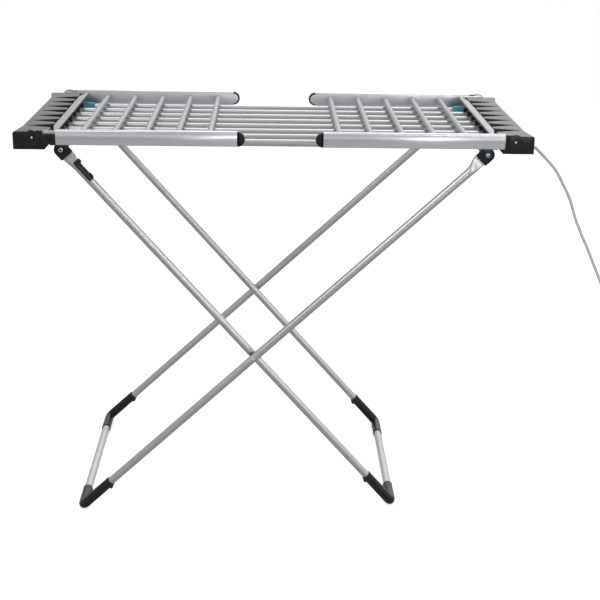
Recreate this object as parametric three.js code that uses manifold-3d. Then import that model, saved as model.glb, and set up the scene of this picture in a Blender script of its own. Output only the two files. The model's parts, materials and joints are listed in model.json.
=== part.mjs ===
// Heated clothes airer: eight warm bars between two ribbed end housings, two fold-out rod wings
// and a crossed folding stand. Millimetres, +Z up, +X right, front at -Y, floor at z = 0.
import * as THREE from 'three';
import { mergeVertices } from 'three/addons/utils/BufferGeometryUtils.js';
import Module from 'manifold-3d';

const wasm = await Module();
wasm.setup();

// Sizes shared by seats, joints and cuts.
const gap = 0.3;
const overrun = 2;

// Facets round each kind of round piece.
const sides = { bar: 16, rod: 12, tube: 16, pin: 12, hub: 24, cord: 8, loop: 6 };

// Two end housings: trays with full-height end walls, joined by the warm bars.
// Their long outer sides are waisted and flare out to the end walls.
const house = {
  innerX: 503.7, width: 76.8, waistInset: 10.5, waistHalf: 200, halfDepth: 266.6,
  baseZ: 889.5, height: 39.1, wall: 2.5, endWall: 5, chamfer: 8, corner: 5,
};
const houseOuterX = house.innerX + house.width;
const waistX = houseOuterX - house.waistInset;
const flareY = house.halfDepth - house.endWall;
const houseTopZ = house.baseZ + house.height;

// Eight hollow warm bars in sockets on the housings' inner walls.
const bar = { count: 8, endMargin: 43.65, rise: 10.5, radius: 8, wall: 1, insert: 3.8 };
const outerBarY = house.halfDepth - bar.endMargin;
const barPitch = 2 * outerBarY / (bar.count - 1);
const barZ = house.baseZ + bar.rise;
const barEndX = house.innerX + house.wall + bar.insert;
const socket = { radius: 11.5, length: 12.2 };

// Ribbed lids: wedge valleys between the bars, widest at the inner edge, and ribs hollow from below.
const lid = { floor: 3, depth: 15.6, tipInset: 6.5, valleyHalf: 17.5, wall: 2.5 };
const lidTipX = waistX - lid.tipInset;
const lidBaseZ = houseTopZ - lid.depth;

// Heating cable: one run through all the bars, looped in the housings, joined in a junction.
const cable = { radius: 2.5, lead: 4, bend: 15, returnInset: 14 };
const cableZ = barZ - (bar.radius - bar.wall - gap - cable.radius);
const junction = { length: 28, inset: 5.1, width: 20, height: 12 };

// Wing hinges, rails, rods and flat bars.
const flat = { width: 16, baseRise: 25.5, height: 5, innerGap: 3.7, swingGap: 1 };
const flatOuterX = house.innerX - flat.innerGap;
const hinge = { drop: 10.6, pinRadius: 4, pinBite: 4.6, hubRadius: 17, hubDepth: 13.3 };
const hingeX = (flatOuterX + waistX + flat.swingGap) / 2;
const hingeZ = houseTopZ - hinge.drop;
const hubMark = { radius: 3.5, depth: 2 };
const rail = {
  sideGap: 0.8, halfHeight: 17, depth: 13.6, plate: 2, skin: 1.5, frontRound: 5.5, backRound: 1.8,
  freeRound: 12.8, eyeRound: 16, neckHalf: 13.5, hingeSetback: 23,
  freeX: 107.7, frontLeftShift: 28.6, frontLeftFreeShift: 24.1,
};
const railInnerY = house.halfDepth + rail.sideGap;
const arm = {
  blockHalf: 15.5, neckLow: 15, tongueLow: 13, rise: 7.4, depth: 8.7, tongue: 30,
  screwRadius: 3.5, screwHead: 1.5, screwSetback: 36.1, screwRise: 2.9,
};
const cap = { depth: 10.7, tongue: 15, tongueHalf: 11.8 };
const sleeve = { radius: 12, length: 28, socketGap: 1, rodGap: 1.5 };
const sleeveOuterX = house.innerX - socket.length - sleeve.socketGap;
const sleeveInnerX = sleeveOuterX - sleeve.length;
const rod = { count: 5, setback: 67.5, pitch: 71.5, radius: 6.5, wall: 1, seat: 1.5 };
const rodX = (k) => flatOuterX - rod.setback - rod.pitch * k;
const rodZ = barZ + sleeve.radius + sleeve.rodGap + rod.radius;

// Stand: a narrow frame hung from the sliding sleeves, a wide one from the fixed sleeves.
const pivot = {
  inset: 12.5, drop: 15, lugRadius: 12, lugShoulder: 4, lugSet: 4,
  holeRadius: 3.3, boltRadius: 3, headRadius: 5.5, head: 3,
};
const pivotX = sleeveOuterX - pivot.inset;
const pivotZ = barZ - pivot.drop;
const bracket = { half: 15.8, edge: 20, depth: 12 };
const tongue = { half: 13, thick: 4, run: 24 };
const fan = { half: 14.8, lean: 2.2, end: 55, bore: 66, shares: [0, 0.3, 0.55, 0.8, 1] };
const leg = { radius: 9.5, wall: 1.2 };
const elbow = {
  radius: 12.25, tubeArm: 95, footArm: 86, web: 1, tabStart: 6, tabLength: 8, tabHalf: 4, tabRise: 2.5,
};
const elbowStop = leg.radius + elbow.web;
const narrow = { footX: 293, tubeOut: 21.05, bracketOut: 16.05 };
const wide = { footX: -459, tubeOut: 46.55, bracketOut: 28.55 };
const legY = (spec) => outerBarY + spec.tubeOut;
const bracketY = (spec) => outerBarY + spec.bracketOut;
const lugInnerY = outerBarY + pivot.lugSet;
const crossing = { spacerRadius: 9, rivetRadius: 4, rivetHead: 2.5 };
const clip = {
  fromShare: 2, to: 95, thick: 1.5, padHalf: 4, padSink: 0.9, padRise: 1.3, pads: [[41, 50], [81, 91]],
};

// Mains cord: strain relief, free stretch, a three-loop coil on the floor and a plug on its back.
const cord = { radius: 3.5, step: 18 };
const relief = {
  fromBar: 32.95, drop: 1.2, hole: 4.9, neck: 4.6, flange: 6.3, flangeDepth: 2,
  nose: 19, noseTip: 4.4, noseRoot: 5.6, tilt: 20,
};
const reliefY = relief.fromBar - outerBarY;
const reliefZ = barZ - relief.drop;
const noseX = waistX + gap + relief.flangeDepth;
const coil = {
  x: 915, aside: 10, z: 3.6, outer: 44, pitch: 9, loops: 3, climb: 7.6,
  stepsPerLoop: 24, straight: 8, tail: 37,
};
const coilY = reliefY - coil.aside;
const plug = {
  nose: 10, noseRadius: 5.2, length: 50, halfWidth: 25, base: 0.1, height: 22, round: 9, taper: 6, bite: 2,
  pinWide: 6.3, pinThick: 4, pinLong: 17.7, pinX: 17, pinY: 11.1,
  earthWide: 8, earthLong: 22.7, earthX: 39.3,
};

// Route of the free cord from the relief's tip to the floor as x, z pairs, with y on the coil's tangent.
const cordRoute = [
  [607.4, 881], [622, 866.8], [648.6, 837.3], [668.9, 803.1], [685.7, 771.6], [703.9, 722.2],
  [721.4, 684.3], [738.9, 648.9], [755.6, 612.4], [774.7, 571.6], [797, 513], [817, 440], [833, 355],
  [845, 265], [853, 175], [859, 95], [866, 46], [876, 17], [888, 6],
];

const black = { color: 0x1d1d1f, roughness: 0.5, metalness: 0 };
const ribBlack = { color: 0x3a3a3c, roughness: 0.7, metalness: 0 };
const satin = { color: 0xb9bdc4, roughness: 0.32, metalness: 0.75 };
const bright = { color: 0xc9ccd0, roughness: 0.28, metalness: 0.7 };
const grey = { color: 0xb4b7ba, roughness: 0.5, metalness: 0.2 };
const teal = { color: 0x2f8f99, roughness: 0.45, metalness: 0 };
const cordGrey = { color: 0xbfc1c3, roughness: 0.55, metalness: 0 };
const cableGrey = { color: 0x8d8f92, roughness: 0.6, metalness: 0 };

// Closed solid from a three.js geometry.
function solid(geometry) {
  const bare = geometry.clone();
  bare.deleteAttribute('normal');
  bare.deleteAttribute('uv');
  const merged = mergeVertices(bare);
  return new wasm.Manifold(new wasm.Mesh({
    numProp: 3,
    vertProperties: Float32Array.from(merged.attributes.position.array),
    triVerts: Uint32Array.from(merged.index.array),
  }));
}

function shapeOf(body) {
  const mesh = body.getMesh();
  const geometry = new THREE.BufferGeometry();
  geometry.setAttribute('position', new THREE.BufferAttribute(mesh.vertProperties, 3));
  geometry.setIndex(new THREE.BufferAttribute(mesh.triVerts, 1));
  geometry.computeVertexNormals();
  return geometry;
}

const joined = (...bodies) => bodies.reduce((all, body) => all.add(body));
const cutBy = (body, ...tools) => tools.reduce((left, tool) => left.subtract(tool), body);

function piece(group, name, look, body) {
  const mesh = new THREE.Mesh(shapeOf(body), new THREE.MeshStandardMaterial(look));
  mesh.name = name;
  group.add(mesh);
  return mesh;
}

function box(x, y, z) {
  const [x0, x1] = [Math.min(...x), Math.max(...x)];
  const [y0, y1] = [Math.min(...y), Math.max(...y)];
  const [z0, z1] = [Math.min(...z), Math.max(...z)];
  const geometry = new THREE.BoxGeometry(x1 - x0, y1 - y0, z1 - z0);
  return solid(geometry.translate((x0 + x1) / 2, (y0 + y1) / 2, (z0 + z1) / 2));
}

// Round bars along an axis; start turns the facets, tip gives a cone its far radius.
function alongX(radius, x, y, z, count, start = 0, tip = radius) {
  const geometry = new THREE.CylinderGeometry(tip, radius, Math.abs(x[1] - x[0]), count, 1, false, start);
  geometry.rotateZ(-Math.PI / 2);
  return solid(geometry.translate((x[0] + x[1]) / 2, y, z));
}

function alongY(radius, x, y, z, count, start = 0) {
  const length = Math.abs(y[1] - y[0]);
  const geometry = new THREE.CylinderGeometry(radius, radius, length, count, 1, false, start);
  return solid(geometry.translate(x, (y[0] + y[1]) / 2, z));
}

// Outline in the x-z plane, extruded between two values of y.
function plateXZ(shape, y, curveSegments = 8) {
  const [y0, y1] = [Math.min(...y), Math.max(...y)];
  const geometry = new THREE.ExtrudeGeometry(shape, { depth: y1 - y0, bevelEnabled: false, curveSegments });
  return solid(geometry.rotateX(Math.PI / 2).translate(0, y1, 0));
}

// Outline in the y-z plane, extruded between two values of x.
function plateYZ(shape, x, curveSegments = 4) {
  const [x0, x1] = [Math.min(...x), Math.max(...x)];
  const geometry = new THREE.ExtrudeGeometry(shape, { depth: x1 - x0, bevelEnabled: false, curveSegments });
  const turn = new THREE.Matrix4().makeBasis(
    new THREE.Vector3(0, 1, 0), new THREE.Vector3(0, 0, 1), new THREE.Vector3(1, 0, 0));
  return solid(geometry.applyMatrix4(turn).translate(x0, 0, 0));
}

// Outline in the x-y plane, extruded between two values of z.
function plateXY(shape, z, curveSegments = 4) {
  const [z0, z1] = [Math.min(...z), Math.max(...z)];
  const geometry = new THREE.ExtrudeGeometry(shape, { depth: z1 - z0, bevelEnabled: false, curveSegments });
  return solid(geometry.translate(0, 0, z0));
}

function polygon(points) {
  return new THREE.Shape(points.map(([a, b]) => new THREE.Vector2(a, b)));
}

// Rectangle from a0, b0 to a1, b1 with its own radius at the low-a and the high-a corners.
function roundedBox(a0, b0, a1, b1, lowRound, highRound) {
  const shape = new THREE.Shape();
  shape.moveTo(a0 + lowRound, b0);
  shape.lineTo(a1 - highRound, b0);
  shape.absarc(a1 - highRound, b0 + highRound, highRound, -Math.PI / 2, 0, false);
  shape.lineTo(a1, b1 - highRound);
  shape.absarc(a1 - highRound, b1 - highRound, highRound, 0, Math.PI / 2, false);
  shape.lineTo(a0 + lowRound, b1);
  shape.absarc(a0 + lowRound, b1 - lowRound, lowRound, Math.PI / 2, Math.PI, false);
  shape.lineTo(a0, b0 + lowRound);
  shape.absarc(a0 + lowRound, b0 + lowRound, lowRound, Math.PI, Math.PI * 1.5, false);
  return shape;
}

// Strip with one round end about x0 and a square end at x1.
function tongueShape(x0, x1, z, half) {
  const shape = new THREE.Shape();
  shape.moveTo(x1, z - half);
  shape.lineTo(x1, z + half);
  shape.lineTo(x0, z + half);
  shape.absarc(x0, z, half, Math.PI / 2, Math.PI * 1.5, false);
  return shape;
}

function ringShape(radius, count) {
  const points = [];
  for (let k = 0; k < count; k += 1) {
    const turn = (k + 0.5) * 2 * Math.PI / count;
    points.push([radius * Math.cos(turn), radius * Math.sin(turn)]);
  }
  return polygon(points);
}

// Path that passes through its points at even steps of its parameter.
class Route extends THREE.Curve {
  constructor(points) {
    super();
    this.points = points;
  }

  getPointAt(share, target = new THREE.Vector3()) {
    const place = share * (this.points.length - 1);
    const at = Math.min(Math.floor(place), this.points.length - 2);
    return target.lerpVectors(this.points[at], this.points[at + 1], place - at);
  }

  getTangentAt(share, target = new THREE.Vector3()) {
    const last = this.points.length - 1;
    const at = Math.round(share * last);
    const ahead = this.points[Math.min(at + 1, last)];
    const behind = this.points[Math.max(at - 1, 0)];
    return target.subVectors(ahead, behind).normalize();
  }
}

function tubeAlong(points, radius, count) {
  const extrudePath = new Route(points);
  const options = { steps: points.length - 1, extrudePath, bevelEnabled: false };
  return solid(new THREE.ExtrudeGeometry(ringShape(radius, count), options));
}

// Closed skin through rings of equal point counts, ends closed flat.
function loft(rings) {
  const count = rings[0].length;
  const index = [];
  for (let r = 0; r + 1 < rings.length; r += 1) {
    for (let k = 0; k < count; k += 1) {
      const a = r * count + k;
      const b = r * count + (k + 1) % count;
      index.push(a, b + count, b, a, a + count, b + count);
    }
  }
  const last = (rings.length - 1) * count;
  for (let k = 1; k + 1 < count; k += 1) {
    index.push(0, k, k + 1, last, last + k + 1, last + k);
  }
  const geometry = new THREE.BufferGeometry();
  geometry.setAttribute('position', new THREE.Float32BufferAttribute(rings.flat(2), 3));
  geometry.setIndex(index);
  return solid(geometry);
}

const airer = new THREE.Group();
const rightEnd = new THREE.Group();
const leftEnd = new THREE.Group();
leftEnd.rotation.z = Math.PI;
airer.add(rightEnd, leftEnd);

// An end's own frame has +X outward; its rear is the front of the other end.
const ends = [
  { side: 'right', group: rightEnd, rear: 1 },
  { side: 'left', group: leftEnd, rear: -1 },
];
const placeName = (end, sign) => (sign === end.rear ? 'rear' : 'front');
const barY = (k) => barPitch * k - outerBarY;

// End profile: chamfered at the inner foot, rounded at the outer top.
function houseProfile() {
  const shape = new THREE.Shape();
  shape.moveTo(house.innerX + house.chamfer, house.baseZ);
  shape.lineTo(houseOuterX, house.baseZ);
  shape.lineTo(houseOuterX, houseTopZ - house.corner);
  shape.absarc(houseOuterX - house.corner, houseTopZ - house.corner, house.corner, 0, Math.PI / 2, false);
  shape.lineTo(house.innerX, houseTopZ);
  shape.lineTo(house.innerX, house.baseZ + house.chamfer);
  return shape;
}

// Waste beside the waist in plan: straight along the waist, sloped to the end walls.
function waistWaste() {
  const outline = polygon([
    [houseOuterX + overrun, -flareY], [houseOuterX + overrun, flareY], [houseOuterX, flareY],
    [waistX, house.waistHalf], [waistX, -house.waistHalf], [houseOuterX, -flareY],
  ]);
  return plateXY(outline, [house.baseZ - overrun, houseTopZ + overrun]);
}

function trayHollow() {
  const slope = house.wall * (Math.SQRT2 - 1);
  return polygon([
    [house.innerX + house.chamfer + slope, house.baseZ + house.wall],
    [waistX - house.wall, house.baseZ + house.wall],
    [waistX - house.wall, houseTopZ + overrun],
    [house.innerX + house.wall, houseTopZ + overrun],
    [house.innerX + house.wall, house.baseZ + house.chamfer + slope],
  ]);
}

function housing(end) {
  const endY = house.halfDepth;
  const innerY = flareY;
  const block = plateXZ(houseProfile(), [-endY, endY]).subtract(waistWaste());
  const hollow = plateXZ(trayHollow(), [-innerY, innerY]);
  const lidRoom = box([house.innerX - overrun, houseOuterX + overrun], [-innerY, innerY],
    [lidBaseZ - gap, houseTopZ + overrun]);
  let body = cutBy(block, hollow, lidRoom);
  const mouth = [house.innerX - socket.length, house.innerX + house.wall / 2];
  for (let k = 0; k < bar.count; k += 1) {
    body = body.add(alongX(socket.radius, mouth, barY(k), barZ, sides.bar));
  }
  for (let k = 0; k < bar.count; k += 1) {
    const reach = [mouth[0] - overrun, barEndX + overrun];
    body = body.subtract(alongX(bar.radius + gap, reach, barY(k), barZ, sides.bar));
  }
  for (const sign of [-1, 1]) {
    const bite = [sign * (innerY - overrun), sign * (endY + overrun)];
    body = body.subtract(alongY(hinge.pinRadius + gap, hingeX, bite, hingeZ, sides.pin));
  }
  if (end.side === 'right') {
    const reach = [waistX - house.wall - overrun, waistX + overrun];
    body = body.subtract(alongX(relief.hole, reach, reliefY, reliefZ, sides.pin));
  }
  return body;
}

// Comb-shaped lid: seven wedge valleys cut down to a closed floor.
function ribbedLid() {
  const halfY = flareY - gap;
  const innerEdge = house.innerX;
  const outline = [[houseOuterX, -halfY], [houseOuterX, halfY], [innerEdge, halfY]];
  for (let k = bar.count - 1; k > 0; k -= 1) {
    const middle = (barY(k) + barY(k - 1)) / 2;
    outline.push([innerEdge, middle + lid.valleyHalf]);
    outline.push([lidTipX, middle]);
    outline.push([innerEdge, middle - lid.valleyHalf]);
  }
  outline.push([innerEdge, -halfY]);
  const comb = plateXY(polygon(outline), [lidBaseZ, houseTopZ]);
  const floor = box([innerEdge, houseOuterX], [-halfY, halfY], [lidBaseZ, lidBaseZ + lid.floor]);
  const block = comb.add(floor).intersect(plateXZ(houseProfile(), [-halfY, halfY]));
  return cutBy(block, waistWaste(), ...ribHollows(halfY));
}

// Hollow of each rib from below: a wall's thickness inside the valleys and the lid's edges.
function ribHollows(halfY) {
  const slope = lid.valleyHalf / (lidTipX - house.innerX);
  const wallY = lid.wall * Math.hypot(1, slope);
  const innerX = house.innerX + lid.wall;
  const outerX = waistX - lid.wall;
  const sideAt = (k, x) => slope * (lidTipX - x) + wallY + (barY(k) + barY(k + 1)) / 2;
  const hollows = [];
  for (let k = 0; k < bar.count; k += 1) {
    const low = (x) => (k === 0 ? lid.wall - halfY : sideAt(k - 1, x));
    const high = (x) => (k === bar.count - 1 ? halfY - lid.wall : -sideAt(bar.count - 2 - k, x));
    const outline = polygon([
      [innerX, low(innerX)], [outerX, low(outerX)], [outerX, high(outerX)], [innerX, high(innerX)],
    ]);
    hollows.push(plateXY(outline, [lidBaseZ - overrun, houseTopZ - lid.wall]));
  }
  return hollows;
}

function warmBar(k) {
  const outside = alongX(bar.radius, [-barEndX, barEndX], barY(k), barZ, sides.bar);
  const bore = [-barEndX - overrun, barEndX + overrun];
  return outside.subtract(alongX(bar.radius - bar.wall, bore, barY(k), barZ, sides.bar));
}

// Cable points: straight runs inside the bars with half-round loops beyond their ends.
function cablePoints() {
  const points = [];
  const at = (x, y) => points.push(new THREE.Vector3(x, y, cableZ));
  const turnX = barEndX + cable.lead;
  const returnX = waistX - cable.returnInset;
  const arc = (cx, cy, radius, from, to, steps) => {
    for (let k = 0; k <= steps; k += 1) {
      const turn = from + (to - from) * k / steps;
      at(cx + radius * Math.cos(turn), cy + radius * Math.sin(turn));
    }
  };
  at(returnX, reliefY);
  arc(returnX - cable.bend, barY(0) + cable.bend, cable.bend, 0, -Math.PI / 2, 4);
  for (let k = 0; k + 1 < bar.count; k += 1) {
    const middle = (barY(k) + barY(k + 1)) / 2;
    const outward = k % 2 === 0 ? -1 : 1;
    arc(outward * turnX, middle, barPitch / 2, -Math.PI / 2, -Math.PI / 2 + outward * Math.PI, 8);
  }
  arc(returnX - cable.bend, barY(bar.count - 1) - cable.bend, cable.bend, Math.PI / 2, 0, 4);
  at(returnX, reliefY + junction.length / 4);
  return points;
}

function heatingCable() {
  const run = tubeAlong(cablePoints(), cable.radius, sides.loop);
  const outerX = waistX - junction.inset;
  const baseZ = house.baseZ + house.wall + gap;
  const block = box([outerX - junction.width, outerX],
    [reliefY - junction.length / 2, reliefY + junction.length / 2], [baseZ, baseZ + junction.height]);
  return run.add(block);
}

// Rail: hollow skin whose flat inner plate runs on past it, to a round end and to the hinge's eye.
function railBody(sign, skinX, freeX) {
  const y = (depth) => sign * (railInnerY + depth);
  const half = rail.halfHeight;
  const section = (depth0, depth1, inset, back, front) => {
    const [low, high] = [Math.min(y(depth0), y(depth1)), Math.max(y(depth0), y(depth1))];
    const [lowRound, highRound] = sign > 0 ? [back, front] : [front, back];
    return roundedBox(low, hingeZ - half + inset, high, hingeZ + half - inset, lowRound, highRound);
  };
  const innerRound = rail.frontRound - rail.skin;
  const skin = plateYZ(section(0, rail.depth, 0, rail.backRound, rail.frontRound), [freeX, skinX]);
  const hollow = plateYZ(section(rail.plate, rail.depth - rail.skin, rail.skin, gap, innerRound),
    [freeX - overrun, skinX + overrun]);
  const flatY = [y(0), y(rail.plate)];
  const freeEnd = plateXZ(tongueShape(freeX, freeX + overrun, hingeZ, rail.freeRound), flatY);
  const neck = box([skinX - overrun, hingeX], flatY, [hingeZ - rail.neckHalf, hingeZ + rail.neckHalf]);
  const eye = alongY(rail.eyeRound, hingeX, flatY, hingeZ, sides.hub);
  let body = joined(skin.subtract(hollow), freeEnd, neck, eye);
  for (let k = 0; k < rod.count; k += 1) {
    const reach = [y(-overrun), y(rail.plate + overrun)];
    body = body.subtract(alongY(rod.radius + gap, rodX(k), reach, rodZ, sides.rod));
  }
  const through = [y(-overrun), y(rail.plate + overrun)];
  return body.subtract(alongY(hinge.pinRadius + gap, hingeX, through, hingeZ, sides.pin));
}

// Hinge arm: hub disc, block and pivot pin outside the plate, tongue inside the skin.
function hingeArm(sign, skinX, bare) {
  const y = (depth) => sign * (railInnerY + depth);
  const seat = rail.plate + gap;
  const hub = alongY(hinge.hubRadius, hingeX, [y(seat), y(seat + hinge.hubDepth)], hingeZ, sides.hub);
  const across = [y(seat), y(seat + arm.depth)];
  const tongueBox = box([skinX - arm.tongue, hingeX], across, [hingeZ - arm.tongueLow, hingeZ + arm.rise]);
  const neck = box([skinX + gap, hingeX], across, [hingeZ - arm.neckLow, hingeZ + arm.rise]);
  const block = box([hingeX - rail.hingeSetback + gap, hingeX], across,
    [hingeZ - arm.blockHalf, hingeZ + arm.blockHalf]);
  const pinEnd = -rail.sideGap - hinge.pinBite;
  const pin = alongY(hinge.pinRadius, hingeX, [y(pinEnd), y(seat + overrun)], hingeZ, sides.pin);
  const mark = alongY(hubMark.radius, hingeX,
    [y(seat + hinge.hubDepth - hubMark.depth), y(seat + hinge.hubDepth + overrun)], hingeZ, sides.pin);
  let body = joined(hub, tongueBox, neck, block, pin).subtract(mark);
  if (bare) {
    const head = [y(seat), y(seat + arm.depth + arm.screwHead)];
    const screwX = hingeX - arm.screwSetback;
    body = body.add(alongY(arm.screwRadius, screwX, head, hingeZ + arm.screwRise, sides.pin));
  }
  return body;
}

// End cap: half-round block beyond the skin with a tongue inside it.
function endCap(sign, freeX) {
  const y = (depth) => sign * (railInnerY + depth);
  const seat = rail.plate + gap;
  const dome = plateXZ(tongueShape(freeX - gap, freeX - gap, hingeZ, rail.halfHeight),
    [y(seat), y(seat + cap.depth)]);
  const stub = box([freeX - gap - overrun, freeX + cap.tongue],
    [y(seat), y(rail.depth - rail.skin - gap)],
    [hingeZ - cap.tongueHalf, hingeZ + cap.tongueHalf]);
  return dome.add(stub);
}

function wing(end) {
  const { group, side } = end;
  for (const sign of [-1, 1]) {
    const where = placeName(end, sign);
    const shifted = side === 'left' && where === 'front';
    const skinX = hingeX - rail.hingeSetback - (shifted ? rail.frontLeftShift : 0);
    const freeX = rail.freeX - (shifted ? rail.frontLeftFreeShift : 0);
    piece(group, `wing_${side}_rail_${where}`, satin, railBody(sign, skinX, freeX));
    piece(group, `wing_${side}_arm_${where}`, black, hingeArm(sign, skinX, shifted));
    piece(group, `wing_${side}_cap_${where}`, black, endCap(sign, freeX));
  }
  const reach = railInnerY + rail.plate + rod.seat;
  for (let k = 0; k < rod.count; k += 1) {
    const outside = alongY(rod.radius, rodX(k), [-reach, reach], rodZ, sides.rod);
    const through = [-reach - overrun, reach + overrun];
    const bore = alongY(rod.radius - rod.wall, rodX(k), through, rodZ, sides.rod);
    piece(group, `wing_${side}_rod_${k + 1}`, grey, outside.subtract(bore));
  }
  piece(group, `wing_${side}_flat_bar`, grey, flatBar());
}

// Flat bar across the wing, narrowed at its ends to swing past the flared end walls.
function flatBar() {
  const baseZ = barZ + flat.baseRise;
  const halfY = railInnerY - gap;
  const innerX = flatOuterX - flat.width;
  const endX = flatOuterX - house.waistInset;
  const bendY = house.waistHalf - flat.swingGap;
  const narrowY = flareY - flat.swingGap;
  const outline = polygon([
    [innerX, -halfY], [endX, -halfY], [endX, -narrowY], [flatOuterX, -bendY],
    [flatOuterX, bendY], [endX, narrowY], [endX, halfY], [innerX, halfY],
  ]);
  return plateXY(outline, [baseZ, baseZ + flat.height]);
}

// Sleeve round an outer warm bar, with a lug that carries a leg pivot.
function sleeveBody(sign, lugY) {
  const y = sign * outerBarY;
  const ring = alongX(sleeve.radius, [sleeveInnerX, sleeveOuterX], y, barZ, sides.bar);
  const shape = new THREE.Shape();
  shape.moveTo(pivotX + pivot.lugRadius, barZ);
  shape.lineTo(sleeveInnerX, barZ);
  shape.lineTo(sleeveInnerX, pivotZ - pivot.lugShoulder);
  shape.absarc(pivotX, pivotZ, pivot.lugRadius, Math.PI * 1.25, 2 * Math.PI, false);
  const lug = plateXZ(shape, [sign * lugInnerY, sign * lugY]);
  const through = [sleeveInnerX - overrun, sleeveOuterX + overrun];
  const bore = alongX(bar.radius + gap, through, y, barZ, sides.bar);
  const hole = alongY(pivot.holeRadius, pivotX,
    [sign * (lugInnerY - overrun), sign * (lugY + overrun)], pivotZ, sides.pin);
  return cutBy(ring.add(lug), bore, hole);
}

// Stand frames, each in a group whose +X runs down the leg from the pivot.
function frameOf(footX, pivotX) {
  const run = footX - pivotX;
  const drop = pivotZ - elbow.radius;
  const group = new THREE.Group();
  group.position.set(pivotX, 0, pivotZ);
  group.rotation.y = Math.atan2(drop, run);
  airer.add(group);
  return { group, angle: group.rotation.y, length: Math.hypot(run, drop) };
}

const fanStart = bracket.edge + gap;

// Ring round a leg at a distance from its pivot; towards the bracket it flattens into a fan.
function legRing(sign, u, tubeY, tongueY, grow = 0) {
  const share = Math.min((u - fanStart) / (fan.end - fanStart), 1);
  const ease = share * share * (3 - 2 * share);
  const half = fan.half + (leg.radius - fan.half) * ease + grow;
  const lean = fan.lean * (1 - ease);
  const thick = tongue.thick / 2 + (leg.radius - tongue.thick / 2) * ease + grow;
  const middle = sign * (tongueY + (tubeY - tongueY) * ease);
  const points = [];
  for (let k = 0; k < sides.tube; k += 1) {
    const turn = k * 2 * Math.PI / sides.tube;
    points.push([u, middle + thick * Math.sin(turn), lean + half * Math.cos(turn)]);
  }
  return points;
}

const fanPlaces = fan.shares.map((share) => fanStart + (fan.end - fanStart) * share);

// Leg tube: round to the foot, flattened and widened to a tongue at the pivot.
function legTube(sign, frame, tubeY, tongueY) {
  const end = frame.length - elbowStop;
  const rings = [...fanPlaces, end].map((u) => legRing(sign, u, tubeY, tongueY));
  const plate = plateXZ(tongueShape(0, tongue.run, 0, tongue.half),
    [sign * (tongueY - tongue.thick / 2), sign * (tongueY + tongue.thick / 2)]);
  const hole = alongY(pivot.holeRadius, 0,
    [sign * (tongueY - tongue.thick), sign * (tongueY + tongue.thick)], 0, sides.pin);
  const bore = alongX(leg.radius - leg.wall, [fan.bore, end + overrun], sign * tubeY, 0, sides.tube);
  return cutBy(loft(rings).add(plate), hole, bore);
}

// Pivot bracket: round-ended block slotted over the tongue, with its bolt into the sleeve's lug.
function bracketBody(sign, innerY, tongueY) {
  const y = (value) => sign * value;
  const outline = tongueShape(0, bracket.edge, 0, bracket.half);
  const block = plateXZ(outline, [y(innerY), y(innerY + bracket.depth)]);
  const slot = plateXZ(tongueShape(0, bracket.edge + overrun, 0, tongue.half + gap),
    [y(tongueY - tongue.thick / 2 - gap), y(tongueY + tongue.thick / 2 + gap)]);
  const shank = alongY(pivot.boltRadius, 0, [y(lugInnerY), y(innerY + bracket.depth)], 0, sides.pin);
  const head = alongY(pivot.headRadius, 0,
    [y(innerY + bracket.depth - overrun / 2), y(innerY + bracket.depth + pivot.head)], 0, sides.pin);
  return joined(block.subtract(slot), shank, head);
}

// Foot elbow: sockets for the leg and the foot tube, with flats on the floor.
function elbowBody(sign, frame, tubeY, under) {
  const grow = 1 / Math.cos(Math.PI / sides.tube);
  const flatDown = Math.PI / sides.tube - frame.angle;
  const y = sign * tubeY;
  const armY = sign * (tubeY - elbow.footArm);
  const armX = frame.length - elbow.tubeArm;
  const upper = alongX(elbow.radius, [armX, frame.length], y, 0, sides.tube);
  const lower = alongY(elbow.radius * grow, frame.length, [armY, y], 0, sides.tube, flatDown);
  const knee = new THREE.SphereGeometry(elbow.radius, sides.tube, sides.tube / 2);
  const tab = box([armX + elbow.tabStart, armX + elbow.tabStart + elbow.tabLength],
    [y - elbow.tabHalf, y + elbow.tabHalf], [0, under * (elbow.radius + elbow.tabRise)]);
  const upperReach = [armX - overrun, frame.length - elbowStop + gap];
  const upperBore = alongX(leg.radius + gap, upperReach, y, 0, sides.tube);
  const lowerBore = alongY(leg.radius + gap, frame.length,
    [armY - sign * overrun, y - sign * (elbowStop - gap)], 0, sides.tube, flatDown);
  const body = joined(upper, lower, solid(knee.translate(frame.length, y, 0)), tab);
  return cutBy(body, upperBore, lowerBore);
}

function footTube(frame, tubeY) {
  const end = tubeY - elbowStop;
  const flatDown = Math.PI / sides.tube - frame.angle;
  const outside = alongY(leg.radius, frame.length, [-end, end], 0, sides.tube, flatDown);
  const bore = [-end - overrun, end + overrun];
  return outside.subtract(alongY(leg.radius - leg.wall, frame.length, bore, 0, sides.tube, flatDown));
}

const narrowFrame = frameOf(narrow.footX, -pivotX);
const wideFrame = frameOf(wide.footX, pivotX);

// Where the frames cross, measured down the wide frame from its pivot.
const narrowRun = narrow.footX + pivotX;
const wideRun = pivotX - wide.footX;
const crossShare = 2 * pivotX / (narrowRun + wideRun);
const crossAt = wideFrame.length * crossShare;

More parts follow.
